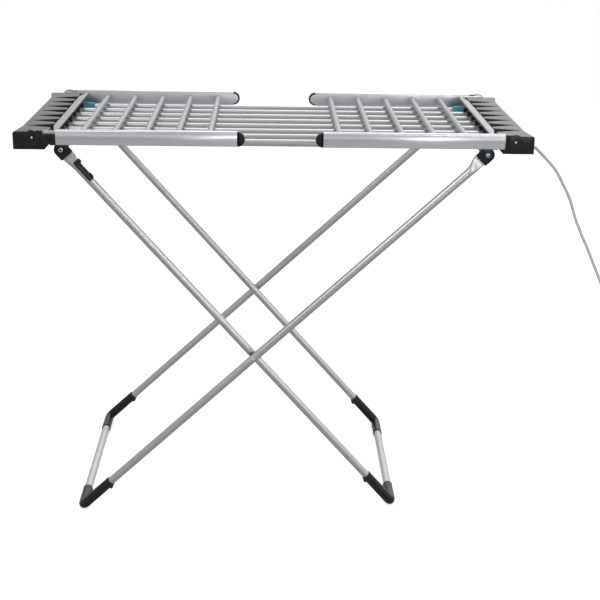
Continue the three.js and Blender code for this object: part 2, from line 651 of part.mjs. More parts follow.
function standFrame(name, frame, spec, under) {
  const tongueY = bracketY(spec) + bracket.depth / 2;
  const crossed = spec === wide;
  for (const [where, sign] of [['front', -1], ['rear', 1]]) {
    let tube = legTube(sign, frame, legY(spec), tongueY);
    if (crossed) {
      const spacerEnd = legY(narrow) + leg.radius + gap;
      const innerFace = legY(spec) - leg.radius;
      const outerFace = legY(spec) + leg.radius;
      const spacer = alongY(crossing.spacerRadius, crossAt,
        [sign * spacerEnd, sign * (innerFace + leg.wall)], 0, sides.pin);
      const rivet = alongY(crossing.rivetRadius, crossAt,
        [sign * (outerFace - leg.wall), sign * (outerFace + crossing.rivetHead)], 0, sides.pin);
      tube = joined(tube, spacer, rivet);
    }
    piece(frame.group, `${name}_tube_${where}`, grey, tube);
    piece(frame.group, `${name}_bracket_${where}`, black, bracketBody(sign, bracketY(spec), tongueY));
    piece(frame.group, `${name}_elbow_${where}`, black, elbowBody(sign, frame, legY(spec), under));
  }
  piece(frame.group, `${name}_foot_tube`, grey, footTube(frame, legY(spec)));
}

// Snap clip: half shell over the narrow frame's front tube, with two raised pads.
function clipBody() {
  const tongueY = bracketY(narrow) + bracket.depth / 2;
  const places = fanPlaces.slice(clip.fromShare);
  const ringAt = (u, grow) => legRing(-1, u, legY(narrow), tongueY, grow);
  const outside = loft([...places, clip.to].map((u) => ringAt(u, gap + clip.thick)));
  const cutPlaces = [...fanPlaces.slice(clip.fromShare - 1), clip.to + overrun];
  const inside = loft(cutPlaces.map((u) => ringAt(u, gap)));
  const reach = 2 * tongue.half;
  const lower = box([places[0] - overrun, clip.to + overrun],
    [-legY(narrow) - reach, -legY(narrow) + reach], [-reach, 0]);
  const across = [-legY(narrow) - clip.padHalf, -legY(narrow) + clip.padHalf];
  const pads = clip.pads.map((span) => {
    const tops = span.map((u) => Math.max(...ringAt(u, gap + clip.thick).map((point) => point[2])));
    return box(span, across, [Math.min(...tops) - clip.padSink, Math.max(...tops) + clip.padRise]);
  });
  return cutBy(joined(outside, ...pads), inside, lower);
}

// Strain relief: flanged neck through the wall and a tapered nose tilted downward.
const noseTilt = THREE.MathUtils.degToRad(relief.tilt);
function reliefBody() {
  const wallInner = waistX - house.wall;
  const neck = alongX(relief.neck, [wallInner - relief.flangeDepth, waistX + relief.flangeDepth],
    reliefY, reliefZ, sides.pin);
  const inner = alongX(relief.flange, [wallInner - gap - relief.flangeDepth, wallInner - gap],
    reliefY, reliefZ, sides.pin);
  const outer = alongX(relief.flange, [waistX + gap, waistX + gap + relief.flangeDepth],
    reliefY, reliefZ, sides.pin);
  const cone = new THREE.CylinderGeometry(relief.noseTip, relief.noseRoot, relief.nose, sides.pin);
  cone.rotateZ(-Math.PI / 2).translate(relief.nose / 2, 0, 0).rotateY(noseTilt);
  return joined(neck, inner, outer, solid(cone.translate(noseX, reliefY, reliefZ)));
}

function cordPoints() {
  const along = (reach) => new THREE.Vector3(
    noseX + reach * Math.cos(noseTilt), reliefY, reliefZ - reach * Math.sin(noseTilt));
  const start = relief.nose + gap;
  const points = [along(start), along(start + 2 * cord.radius)];
  for (const [x, z] of cordRoute) {
    points.push(new THREE.Vector3(x, coilY, z));
  }
  points[2].y = (reliefY + coilY) / 2;
  const endX = coil.x - coil.straight - gap;
  points.push(new THREE.Vector3(endX - 2 * cord.radius, coilY, coil.z));
  points.push(new THREE.Vector3(endX, coilY, coil.z));
  return points;
}

// The cord's ends run straight for one diameter, with an even step between them.
function freeCord() {
  const route = cordPoints();
  const curve = new THREE.CatmullRomCurve3(route.slice(1, -1), false, 'centripetal');
  const steps = Math.round(curve.getLength() / cord.step);
  const points = [route[0], ...curve.getSpacedPoints(steps), route[route.length - 1]];
  const lowest = Math.min(...points.map((point) => point.z));
  console.log(`free cord ${curve.getLength().toFixed(0)} mm, lowest centre ${lowest.toFixed(2)} mm`);
  return tubeAlong(points, cord.radius, sides.cord);
}

// Coil on the floor: spirals in, climbs one layer in the reversing half turn, spirals out again.
function coilPoints() {
  const turns = coil.loops * 2 * Math.PI;
  const inward = (turns - Math.PI) / 2;
  const centreY = coilY + coil.outer;
  const slope = coil.pitch / (2 * Math.PI);
  const points = [new THREE.Vector3(coil.x - coil.straight, coilY, coil.z)];
  const steps = coil.loops * coil.stepsPerLoop;
  for (let k = 0; k <= steps; k += 1) {
    const turn = turns * k / steps;
    const spent = Math.min(turn, turns - turn, inward);
    const share = Math.min(Math.max((turn - inward) / Math.PI, 0), 1);
    const radius = coil.outer - slope * spent;
    const rise = coil.climb * share * share * (3 - 2 * share);
    points.push(new THREE.Vector3(
      coil.x + radius * Math.sin(turn), centreY - radius * Math.cos(turn), coil.z + rise));
  }
  points.push(new THREE.Vector3(coil.x + coil.tail, coilY, coil.z + coil.climb));
  return points;
}

// Least gap of the coil to itself, between points more than half a loop apart.
function coilGap(points) {
  const fine = new THREE.CatmullRomCurve3(points, false, 'centripetal').getPoints(points.length * 4);
  const apart = Math.round(fine.length / coil.loops / 2);
  let least = Infinity;
  for (let a = 0; a < fine.length; a += 1) {
    for (let b = a + apart; b < fine.length; b += 1) {
      least = Math.min(least, fine[a].distanceTo(fine[b]));
    }
  }
  return least - 2 * cord.radius;
}

function plugBody() {
  const entryX = coil.x + coil.tail + gap;
  const entryZ = coil.z + coil.climb;
  const bodyX = entryX + plug.nose;
  const shape = new THREE.Shape();
  shape.moveTo(bodyX, coilY - plug.halfWidth + plug.taper);
  shape.lineTo(bodyX + plug.length - plug.round, coilY - plug.halfWidth);
  shape.absarc(bodyX + plug.length - plug.round, coilY - plug.halfWidth + plug.round, plug.round,
    -Math.PI / 2, 0, false);
  shape.absarc(bodyX + plug.length - plug.round, coilY + plug.halfWidth - plug.round, plug.round,
    0, Math.PI / 2, false);
  shape.lineTo(bodyX, coilY + plug.halfWidth - plug.taper);
  const body = plateXY(shape, [plug.base, plug.base + plug.height], 6);
  const nose = alongX(plug.noseRadius, [entryX, bodyX + plug.bite], coilY, entryZ, sides.pin);
  const topZ = plug.base + plug.height;
  const pin = (x, y, long, across, tall) => box(
    [x - long / 2, x + long / 2], [y - across / 2, y + across / 2], [topZ - plug.bite, topZ + tall]);
  const live = pin(bodyX + plug.pinX, coilY - plug.pinY, plug.pinThick, plug.pinWide, plug.pinLong);
  const neutral = pin(bodyX + plug.pinX, coilY + plug.pinY, plug.pinThick, plug.pinWide, plug.pinLong);
  const earth = pin(bodyX + plug.earthX, coilY, plug.earthWide, plug.pinThick, plug.earthLong);
  return joined(body, nose, live, neutral, earth);
}

for (const end of ends) {
  piece(end.group, `housing_${end.side}`, black, housing(end));
  piece(end.group, `ribbed_lid_${end.side}`, ribBlack, ribbedLid());
  wing(end);
  for (const sign of [-1, 1]) {
    const spec = end.side === 'left' ? narrow : wide;
    const name = `sleeve_${end.side}_${placeName(end, sign)}`;
    piece(end.group, name, teal, sleeveBody(sign, bracketY(spec) - gap));
  }
}
for (let k = 0; k < bar.count; k += 1) {
  piece(airer, `warm_bar_${k + 1}`, bright, warmBar(k));
}
piece(airer, 'heating_cable', cableGrey, heatingCable());
standFrame('narrow', narrowFrame, narrow, -1);
standFrame('wide', wideFrame, wide, 1);
piece(narrowFrame.group, 'stand_clip', black, clipBody());
piece(airer, 'cord_strain_relief', cordGrey, reliefBody());
piece(airer, 'mains_cord', cordGrey, freeCord());
const coilRun = coilPoints();
console.log(`coil least gap to itself ${coilGap(coilRun).toFixed(2)} mm`);
piece(airer, 'cord_coil', cordGrey, tubeAlong(coilRun, cord.radius, sides.loop));
piece(airer, 'plug', cordGrey, plugBody());

export default airer;
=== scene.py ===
"""Looks of a heated clothes airer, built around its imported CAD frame."""

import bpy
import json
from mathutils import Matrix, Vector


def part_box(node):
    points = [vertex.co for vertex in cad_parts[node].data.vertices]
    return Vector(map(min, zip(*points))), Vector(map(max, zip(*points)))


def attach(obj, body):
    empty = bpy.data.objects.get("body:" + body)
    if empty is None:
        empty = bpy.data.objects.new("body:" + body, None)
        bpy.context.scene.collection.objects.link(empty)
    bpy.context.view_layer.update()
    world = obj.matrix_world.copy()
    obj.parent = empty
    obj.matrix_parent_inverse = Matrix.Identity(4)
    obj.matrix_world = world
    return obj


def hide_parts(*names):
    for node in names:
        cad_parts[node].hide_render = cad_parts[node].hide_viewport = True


bl_info = {
    "name": "Heated clothes airer",
    "version": (1, 0, 0),
    "blender": (4, 5, 0),
    "location": "3D View > Sidebar > Airer",
    "description": "Builds the finished surfaces of a heated clothes airer on its CAD frame",
    "category": "Object",
}

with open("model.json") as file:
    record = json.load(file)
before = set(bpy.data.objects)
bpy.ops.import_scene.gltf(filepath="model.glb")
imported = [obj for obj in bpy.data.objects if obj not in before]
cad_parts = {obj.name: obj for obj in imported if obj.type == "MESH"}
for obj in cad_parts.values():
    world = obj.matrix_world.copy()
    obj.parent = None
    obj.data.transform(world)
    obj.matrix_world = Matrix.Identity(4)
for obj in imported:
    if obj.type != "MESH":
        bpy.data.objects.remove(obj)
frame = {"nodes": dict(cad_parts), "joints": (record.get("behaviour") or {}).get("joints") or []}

import json
import math

import bmesh
import bpy
import numpy as np
from mathutils import Matrix, Vector

NODES = frame["nodes"]
JOINTS = {j["name"]: j for j in frame["joints"]}
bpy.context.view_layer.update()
MM = 0.001
GAP = 0.3 * MM
SIDES = ("left", "right")
PLACES = ("front", "rear")
BARS = range(1, 9)
RODS = range(1, 6)
X_AXIS, Y_AXIS = (1, 0, 0), (0, 1, 0)
SHARPEST_MITRE = 0.5


def node_box(node):
    """Lowest and highest corner of a CAD node, as arrays."""
    low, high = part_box(node)
    return np.array(low), np.array(high)


def middle(node):
    """Centre of a CAD node's box."""
    low, high = node_box(node)
    return (low + high) / 2


def reach(node, axis):
    """A node's least and greatest distance from the middle plane across an axis."""
    low, high = node_box(node)
    return sorted((abs(low[axis]), abs(high[axis])))


def eased(share):
    """Share from 0 to 1 with a level start and a level end: 3 times its square less 2 times its cube."""
    return share**2 * (3 - 2 * share)


# Shapes: every surface is a grid of points [rings, points round each ring, 3].

def turned(count, start=0.0):
    """Angles of count points evenly round a circle."""
    return start + np.arange(count) * 2 * math.pi / count


def revolve(profile, origin, axis, across, count=32, close=False):
    """Surface of revolution: each profile pair (along, radius) turned about axis through origin."""
    profile = np.asarray(profile, float)
    axis, across = np.asarray(axis, float), np.asarray(across, float)
    other = np.cross(axis, across)
    angle = turned(count)
    ring = np.cos(angle)[:, None] * across + np.sin(angle)[:, None] * other
    points = np.asarray(origin) + profile[:, 0, None, None] * axis + profile[:, 1, None, None] * ring
    return grid(points, close_rings=close, caps=not close)


def grid(points, close_rings=False, caps=True):
    """Faces of a grid whose rings are closed; the end rings get flat caps, or join each other."""
    rings, count = points.shape[:2]
    index = np.arange(rings * count).reshape(rings, count)
    if close_rings:
        index = np.vstack([index, index[:1]])
    a, b = index[:-1], index[1:]
    quads = np.stack([a, np.roll(a, -1, 1), np.roll(b, -1, 1), b], -1).reshape(-1, 4)
    faces = quads.tolist()
    if caps and not close_rings:
        faces.append(index[0][::-1].tolist())
        faces.append(index[-1].tolist())
    return points.reshape(-1, 3), faces


def rounded_rim(inset_max, low, high, steps=4):
    """Pairs (height, inset) up one side of a slab whose two rims are quarter rounds."""
    turn = np.linspace(0, math.pi / 2, steps + 1)
    rise, inset = inset_max * (1 - np.cos(turn)), inset_max * (1 - np.sin(turn))
    return np.vstack([np.stack([low + rise, inset], 1), np.stack([high - rise, inset], 1)[::-1]])


def slab(outline, low, high, rim, place, steps=4):
    """Plate of a convex outline: the outline drawn in by a quarter round at both faces.
    place maps arrays (a, b, height) to points."""
    outline = np.asarray(outline, float)
    ahead, behind = np.roll(outline, -1, 0) - outline, outline - np.roll(outline, 1, 0)
    ahead /= np.linalg.norm(ahead, axis=1)[:, None]
    behind /= np.linalg.norm(behind, axis=1)[:, None]
    tangent = ahead + behind
    tangent /= np.linalg.norm(tangent, axis=1)[:, None]
    mitre = 1 / np.maximum(np.sum(tangent * ahead, 1), SHARPEST_MITRE)
    inward = np.stack([-tangent[:, 1], tangent[:, 0]], 1) * mitre[:, None]
    levels = rounded_rim(rim, low, high, steps)
    flat = outline[None] + inward[None] * levels[:, 1, None, None]
    height = np.broadcast_to(levels[:, 0, None], flat.shape[:2])
    return grid(place(flat[..., 0], flat[..., 1], height))


def plane_xz(a, b, height):
    """Outline in x and z, height along y."""
    return np.stack([a, height, b], -1)


def plane_xy(a, b, height):
    """Outline in x and y, height along z."""
    return np.stack([a, b, height], -1)


def arc(centre, radius, start, end, count=8):
    """Points on an arc, angles in degrees."""
    angle = np.radians(np.linspace(start, end, count))
    return np.stack([centre[0] + radius * np.cos(angle), centre[1] + radius * np.sin(angle)], 1)


def round_rect(low, high, radii, count=6):
    """Rectangle whose corners, from low-low anticlockwise, have the given radii."""
    (a0, b0), (a1, b1) = low, high
    r = radii if np.ndim(radii) else [radii] * 4
    return np.vstack([
        arc((a0 + r[0], b0 + r[0]), r[0], 180, 270, count),
        arc((a1 - r[1], b0 + r[1]), r[1], 270, 360, count),
        arc((a1 - r[2], b1 - r[2]), r[2], 0, 90, count),
        arc((a0 + r[3], b1 - r[3]), r[3], 90, 180, count)])


def tongue(end, half, corner, count=20):
    """Strip with a full round about the origin and a nearly square end."""
    return np.vstack([arc((end - corner, corner - half), corner, 270, 360, 4),
                      arc((end - corner, half - corner), corner, 0, 90, 4),
                      arc((0, 0), half, 90, 270, count)])


def past(start, pairs):
    """Profile pairs (distance, radius) counted from start."""
    return [(start + distance, radius) for distance, radius in pairs]


def joined(*parts):
    """Several closed surfaces as one list of points and faces."""
    points, faces, start = [], [], 0
    for part_points, part_faces in parts:
        points.append(np.asarray(part_points, float))
        faces += [[k + start for k in face] for face in part_faces]
        start += len(part_points)
    return np.vstack(points), faces


def piece(name, part, body, kind, replaces, slot, sharp):
    """Mesh object at the origin from points and faces, smooth but for edges over sharp degrees."""
    points, faces = part
    mesh = bpy.data.meshes.new(name)
    mesh.from_pydata(np.asarray(points, float).tolist(), [], faces)
    mesh.validate()
    mesh.polygons.foreach_set("use_smooth", np.ones(len(mesh.polygons), bool))
    obj = bpy.data.objects.new(name, mesh)
    bpy.context.scene.collection.objects.link(obj)
    outward(mesh)
    mesh.set_sharp_from_angle(angle=math.radians(sharp))
    mesh.materials.append(finish_of(kind))
    if replaces:
        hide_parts(*replaces)
    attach(obj, body)
    return obj


# The CAD's material slot and the sharp angle in degrees of each finish that covers a whole node.
COVERS = {
    "black_plastic": ("black_plastic", 35), "ribbed_plastic": ("rib_plastic", 30),
    "satin_rail": ("rail_metal", 40), "warm_bar": ("warm_bar_metal", 40), "coated_tube": ("tube_metal", 40),
    "leg_tube": ("tube_metal", 40), "foot_tube": ("tube_metal", 40), "teal_plastic": ("teal_plastic", 35)}


def cover(node, suffix, part, body, kind="black_plastic"):
    """The piece that takes a CAD node's place, named after it."""
    return piece(f"{node}_{suffix}", part, body, kind, [node], *COVERS[kind])


def trim(node, suffix, part, body, kind, slot="black_plastic", sharp=50):
    """A small extra on the piece that takes a CAD node's place."""
    return piece(f"{node}_{suffix}", part, body, kind, [], slot, sharp)


def outward(mesh):
    """Turns every closed shell so that its faces point out."""
    shell = bmesh.new()
    shell.from_mesh(mesh)
    bmesh.ops.recalc_face_normals(shell, faces=shell.faces)
    shell.to_mesh(mesh)
    shell.free()


# Materials: each is one shader with its own grain on Object coordinates.

def feed(tree, node, inputs):
    """Gives each named input of a node a value, or links another node's output to it."""
    for name, value in inputs.items():
        if isinstance(value, bpy.types.NodeSocket):
            tree.links.new(value, node.inputs[name])
        else:
            node.inputs[name].default_value = value


def wire(tree, kind, out, inputs=None, **settings):
    """Adds a shader node with its settings and inputs, and returns the named output."""
    node = tree.nodes.new(f"ShaderNode{kind}")
    for name, value in settings.items():
        setattr(node, name, value)
    feed(tree, node, inputs or {})
    return node.outputs[out]


WHITE = (1, 1, 1, 1)
# Painted shade: the black that the lids' valleys and lower sides turn to, where shade falls.
VALLEY_PAINTED_SHADE = (0.002, 0.002, 0.002, 1)
CLOUD_SCALE = 14
ROUGH_SPREAD = 0.05
RELIEF_HEIGHT = 0.0002


def shader(name, colour, roughness, metallic=0.0, grain=0.0, grain_scale=900.0, stretch=(1, 1, 1),
           mottle=0.0, bump=0.15, specular=0.5, painted_shade_where=None):
    """Principled shader: fine grain in relief and colour, wide clouds in roughness and colour.
    The last argument names a point attribute that paints shade: where it is high the surface turns black."""
    material = bpy.data.materials.new(name)
    material.use_nodes = True
    tree = material.node_tree
    place = wire(tree, "TexCoord", "Object")
    stretched = wire(tree, "Mapping", "Vector", {"Scale": stretch, "Vector": place})
    noise = wire(tree, "TexNoise", "Fac", {"Scale": grain_scale, "Detail": 3, "Vector": stretched})
    cloud = wire(tree, "TexNoise", "Fac", {"Scale": CLOUD_SCALE, "Detail": 4, "Vector": place})
    rough = wire(tree, "MapRange", "Result", {
        "To Min": roughness - ROUGH_SPREAD, "To Max": roughness + ROUGH_SPREAD, "Value": cloud})
    blend = wire(tree, "Math", "Value", {0: noise, 1: grain, 2: cloud},
                 operation="MULTIPLY_ADD", use_clamp=True)
    tint = wire(tree, "Mix", "Result", {
        "A": (*[c * (1 - mottle) for c in colour[:3]], 1),
        "B": (*[min(1, c * (1 + mottle)) for c in colour[:3]], 1), "Factor": blend}, data_type="RGBA")
    # Painted shade: the named attribute blends the colour to black.
    if painted_shade_where:
        painted_shade_mask = wire(tree, "Attribute", "Fac", attribute_name=painted_shade_where)
        tint = wire(tree, "Mix", "Result", {"A": tint, "B": VALLEY_PAINTED_SHADE, "Factor": painted_shade_mask}, data_type="RGBA")
    relief = wire(tree, "Bump", "Normal", {"Strength": bump, "Distance": RELIEF_HEIGHT, "Height": noise})
    feed(tree, tree.nodes["Principled BSDF"], {
        "Metallic": metallic, "Specular IOR Level": specular, "Roughness": rough, "Base Color": tint,
        "Normal": relief})
    return material


def colour_prop(name, default, words):
    return bpy.props.FloatVectorProperty(
        name=name, description=words, subtype="COLOR", size=3, min=0, max=1, default=default)


def length_prop(name, default, words):
    return bpy.props.FloatProperty(
        name=name, description=words, unit="LENGTH", subtype="DISTANCE", default=default, precision=5)


class AirerColours(bpy.types.PropertyGroup):
    """Colours of the airer's finishes, linear."""
    black_plastic: colour_prop("Black plastic", (0.0085, 0.0085, 0.0092), "Housings, brackets, caps, elbows")
    ribbed_plastic: colour_prop("Ribbed plastic", (0.092, 0.092, 0.093), "Lids of the housings")
    satin_rail: colour_prop("Satin rail", (0.61, 0.62, 0.645), "Metal skin of the wing rails")
    warm_bar: colour_prop("Warm bar", (0.49, 0.495, 0.505), "Heated bars")
    coated_tube: colour_prop("Coated tube", (0.345, 0.35, 0.355), "Rods and flat bars of the wings")
    leg_tube: colour_prop("Leg tube", (0.47, 0.475, 0.485), "Leg tubes of the stand")
    foot_tube: colour_prop("Foot tube", (0.50, 0.505, 0.50), "Foot tubes of the stand")
    teal_plastic: colour_prop("Teal plastic", (0.026, 0.25, 0.295), "Sleeves on the outer warm bars")
    cord_grey: colour_prop("Cord grey", (0.47, 0.475, 0.48), "Mains cord, strain relief and plug")
    steel: colour_prop("Steel", (0.60, 0.61, 0.63), "Bolt heads, rivets and plug pins")
    plated_steel: colour_prop("Plated steel", (0.42, 0.52, 0.68), "Bolt heads of the wide frame")
    floor: colour_prop("Floor", (0.85, 0.85, 0.85), "Floor below the airer")


class AirerSizes(bpy.types.PropertyGroup):
    """Sizes of the details that the CAD solids leave plain."""
    bar_wall: length_prop("Bar wall", 1.0 * MM, "Wall of the heated bars")
    tube_wall: length_prop("Tube wall", 1.2 * MM, "Wall of the stand tubes")
    rail_crown: length_prop("Rail crown", 3.2 * MM, "How far the rail's outer face bulges")
    rail_plate: length_prop("Rail plate", 2.0 * MM, "Thickness of the rails' inner plate")
    plate_free_round: length_prop("Plate free end", 12.8 * MM, "Radius of the inner plate's free end")
    plate_eye: length_prop("Plate eye", 16.0 * MM, "Radius of the inner plate's eye at the hinge")
    plate_neck: length_prop("Plate neck", 13.5 * MM, "Half height of the inner plate beside the hinge")
    edge_round: length_prop("Edge round", 0.8 * MM, "Round on moulded edges")
    valley_depth: length_prop("Valley depth", 11.5 * MM, "Depth of the lids' valleys at the inner edge")
    valley_half: length_prop("Valley half width", 22.5 * MM, "Half width of a valley at the inner edge")
    valley_length: length_prop("Valley length", 59.8 * MM, "How far a valley runs from the inner edge")
    cord_diameter: length_prop("Cord diameter", 7.0 * MM, "Diameter of the mains cord")


def colours():
    return bpy.context.scene.airer_colours


def sizes():
    return bpy.context.scene.airer_sizes


FINISHES = {
    "black_plastic": dict(roughness=0.28, grain=0.3, grain_scale=1600, mottle=0.12, bump=0.10, specular=0.30),
    # The ribbed lids carry painted shade: black in the valleys and towards the base.
    "ribbed_plastic": dict(roughness=0.42, grain=0.9, grain_scale=1100, mottle=0.35, bump=0.4, specular=0.25,
                           painted_shade_where="valley"),
    "satin_rail": dict(roughness=0.30, metallic=0.92, grain=0.4, grain_scale=700, stretch=(0.05, 1, 1),
                       mottle=0.03, bump=0.02),
    "warm_bar": dict(roughness=0.28, metallic=0.92, grain=0.4, grain_scale=900, stretch=(0.04, 1, 1),
                     mottle=0.03, bump=0.006),
    "coated_tube": dict(roughness=0.42, metallic=0.2, grain=0.5, grain_scale=1500, mottle=0.05, bump=0.12),
    "leg_tube": dict(roughness=0.34, metallic=0.95, grain=0.3, grain_scale=1200, mottle=0.03, bump=0.01),
    "foot_tube": dict(roughness=0.45, metallic=0.4, grain=0.6, grain_scale=420, mottle=0.14, bump=0.15),
    "teal_plastic": dict(roughness=0.38, grain=0.3, grain_scale=1500, mottle=0.08, bump=0.15),
    "cord_grey": dict(roughness=0.5, grain=0.4, grain_scale=1400, mottle=0.04, bump=0.15),
    "steel": dict(roughness=0.28, metallic=1.0, grain=0.3, grain_scale=900, mottle=0.05, bump=0.1),
    "plated_steel": dict(roughness=0.28, metallic=1.0, grain=0.3, grain_scale=900, mottle=0.05, bump=0.1),
    # Painted shade: near-black pieces set in the bolt recesses, where shade falls.
    "hole_painted_shade": dict(roughness=0.8, mottle=0.1, specular=0.1, colour=(0.003, 0.003, 0.003)),
}


def finish_of(kind):
    """One material for each finish, made once; its name differs from the record's material slots."""
    name = f"{kind}_finish"
    found = bpy.data.materials.get(name)
    if found:
        return found
    recipe = dict(FINISHES[kind])
    if "colour" not in recipe:
        recipe["colour"] = getattr(colours(), kind)
    return shader(name, **recipe)


def repaint(node, kind):
    """A carried-over CAD node gets a finish of its own."""
    materials = NODES[node].data.materials
    materials.clear()
    materials.append(finish_of(kind))


# Camera and stage.

CAMERA_PLACE = (-0.01313, -3.05815, 1.47001)
CAMERA_FORWARD = (0.0253131, 0.948527, -0.31568303)
CAMERA_UP = (-0.00707831, 0.31594636, 0.94875065)
FOCAL_SHARE = 1270 / 600
SENSOR_WIDTH = 36.0
FLOOR_HALF, FLOOR_DROP = 14.0, 0.0005
# How much white the camera sees added to the floor, and how much darker the floor is in reflections.
FLOOR_GLOW, FLOOR_DIMMED = 0.62, 0.3
# Name, place, size in metres and power in watts.
LAMPS = (("key", (-2.2, -2.4, 3.6), 2.4, 52), ("fill", (2.8, -2.0, 2.4), 2.6, 38),
         ("strip", (0.95, -3.2, 1.0), 0.4, 6), ("back", (0.3, 3.0, 3.4), 3.0, 46))
LAMP_AIM = Vector((0, 0, 0.6))
AMBIENT = 0.42
# Brightness of the room in reflections, from straight down (0) to straight up (1).
ROOM_ENDS = (0.42, 0.95)
ROOM_BANDS = ((0.47, 0.42), (0.50, 1.0), (0.56, 1.0), (0.62, 0.36), (0.80, 0.45))


class AIRER_OT_stage(bpy.types.Operator):
    """Camera at the photograph's place, pale floor and soft studio lamps"""
    bl_idname = "airer.stage"
    bl_label = "Stage"

    def execute(self, context):
        scene = context.scene
        data = bpy.data.cameras.new("airer_camera")
        data.sensor_width = SENSOR_WIDTH
        data.lens = FOCAL_SHARE * SENSOR_WIDTH
        camera = bpy.data.objects.new("airer_camera", data)
        scene.collection.objects.link(camera)
        forward, up = Vector(CAMERA_FORWARD), Vector(CAMERA_UP)
        turn = Matrix((forward.cross(up), up, -forward)).transposed().to_4x4()
        camera.matrix_world = Matrix.Translation(CAMERA_PLACE) @ turn
        scene.camera = camera
        self.floor(scene)
        self.lamps(scene)
        self.world(scene)
        scene.view_settings.view_transform = "Standard"
        return {"FINISHED"}

    def floor(self, scene):
        """Matt floor that shows the airer's shadow, brightened for the camera only."""
        mesh = bpy.data.meshes.new("floor")
        corners = [(x * FLOOR_HALF, y * FLOOR_HALF, 0) for x, y in ((-1, -1), (1, -1), (1, 1), (-1, 1))]
        mesh.from_pydata(corners, [], [(0, 1, 2, 3)])
        floor = bpy.data.objects.new("floor", mesh)
        floor.location.z = -FLOOR_DROP
        scene.collection.objects.link(floor)
        material = bpy.data.materials.new("floor")
        material.use_nodes = True
        tree = material.node_tree
        matt = tree.nodes["Principled BSDF"]
        feed(tree, matt, {"Base Color": (*colours().floor, 1), "Roughness": 0.9, "Specular IOR Level": 0.1})
        white = wire(tree, "Emission", "Emission", {"Strength": 1.0})
        black = wire(tree, "Emission", "Emission", {"Strength": 0.0})
        path = wire(tree, "LightPath", "Is Camera Ray").node.outputs
        seen = wire(tree, "Math", "Value", {0: path["Is Camera Ray"], 1: FLOOR_GLOW}, operation="MULTIPLY")
        glow = wire(tree, "MixShader", "Shader", {"Fac": seen, 1: black, 2: white})
        mirrored = wire(tree, "Math", "Value", {0: path["Is Glossy Ray"], 1: FLOOR_DIMMED},
                        operation="MULTIPLY")
        plain = wire(tree, "MixShader", "Shader", {"Fac": mirrored, 1: matt.outputs["BSDF"], 2: black})
        both = wire(tree, "AddShader", "Shader", {0: plain, 1: glow})
        feed(tree, tree.nodes["Material Output"], {"Surface": both})
        mesh.materials.append(material)

    def lamps(self, scene):
        """Square lamps, all turned to the airer's middle."""
        for name, place, size, power in LAMPS:
            data = bpy.data.lights.new(name, "AREA")
            data.size = size
            data.energy = power
            lamp = bpy.data.objects.new(name, data)
            lamp.location = place
            lamp.rotation_euler = (LAMP_AIM - Vector(place)).to_track_quat("-Z", "Y").to_euler()
            scene.collection.objects.link(lamp)

    def world(self, scene):
        """White for the camera, even light for surfaces, and in reflections a room that is brightest
        at the horizon and behind the airer, more so on its right."""
        world = bpy.data.worlds.new("studio")
        world.use_nodes = True
        scene.world = world
        tree = world.node_tree
        even = tree.nodes["Background"]
        feed(tree, even, {"Color": WHITE, "Strength": AMBIENT})
        white = wire(tree, "Background", "Background", {"Color": WHITE, "Strength": 1.0})
        place = wire(tree, "TexCoord", "Generated")
        way = wire(tree, "SeparateXYZ", "X", {"Vector": place}).node.outputs
        height = wire(tree, "MapRange", "Result", {"From Min": -1, "Value": way["Z"]})
        ramp = wire(tree, "ValToRGB", "Color", {"Fac": height})
        stops = ramp.node.color_ramp.elements
        for stop, share, level in zip(stops, (0.0, 1.0), ROOM_ENDS):
            stop.position, stop.color = share, (level, level, level, 1)
        for share, level in ROOM_BANDS:
            stops.new(share).color = (level, level, level, 1)
        backdrop = wire(tree, "MapRange", "Result", {"From Min": -0.1, "From Max": 0.35, "Value": way["Y"]})
        sideways = wire(tree, "MapRange", "Result", {
            "From Min": -0.2, "From Max": 0.2, "To Min": 0.8, "To Max": 1.35, "Value": way["X"]})
        room = wire(tree, "Mix", "Result", {"A": ramp, "B": sideways, "Factor": backdrop}, data_type="RGBA")
        glossy = wire(tree, "Background", "Background", {"Color": room})
        path = wire(tree, "LightPath", "Is Glossy Ray").node.outputs
        light = wire(tree, "MixShader", "Shader", {
            "Fac": path["Is Glossy Ray"], 1: even.outputs["Background"], 2: glossy})
        shown = wire(tree, "MixShader", "Shader", {"Fac": path["Is Camera Ray"], 1: light, 2: white})
        feed(tree, tree.nodes["World Output"], {"Surface": shown})


# The mains cord, in metres: the relief's tip, the hanging stretch, then the coil and the plug.

RELIEF = dict(y=-0.190, z=0.8988, x=0.5723, nose=0.019, root=0.0056, tip=0.0044, tilt=math.radians(20))
# Pairs (distance, radius) of the relief's flange inside the wall and its collar outside.
FLANGE = ((0, 0.0061), (0.0018, 0.0063), (0.002, 0.0046))
COLLAR = ((0, 0.0046), (0.0003, 0.0061), (0.0008, 0.0063), (0.0023, 0.0058))
COIL = dict(x=0.915, y=-0.200, z=0.0036, outer=0.044, pitch=0.009, loops=3, climb=0.0076, straight=0.008,
            tail=0.037)
PLUG = dict(nose=0.010, top=0.0221, back_round=0.004, face_round=0.0008, face=0.0005, root=0.0044,
            flare=0.0008)
PLUG_CORNERS = [0.011, 0.009, 0.009, 0.011]
PLUG_PINCH, PLUG_PINCHED_SHARE, PLUG_FACE_SHARE = 0.02, 0.2, 0.97
# Each pin's place (from the body's end, from its middle line) and its length, width and height.
PLUG_PINS = ((0.017, -0.0111, 0.004, 0.0063, 0.0177), (0.017, 0.0111, 0.004, 0.0063, 0.0177),
             (0.0393, 0, 0.008, 0.004, 0.0227))
CORD_ROUTE = [
    (0.6074, 0.881), (0.622, 0.8668), (0.6486, 0.8373), (0.6689, 0.8031), (0.6857, 0.7716), (0.7039, 0.7222),
    (0.7214, 0.6843), (0.7389, 0.6489), (0.7556, 0.6124), (0.7747, 0.5716), (0.797, 0.513), (0.817, 0.440),
    (0.833, 0.355), (0.845, 0.265), (0.853, 0.175), (0.859, 0.095), (0.866, 0.046), (0.876, 0.017),
    (0.888, 0.006)]


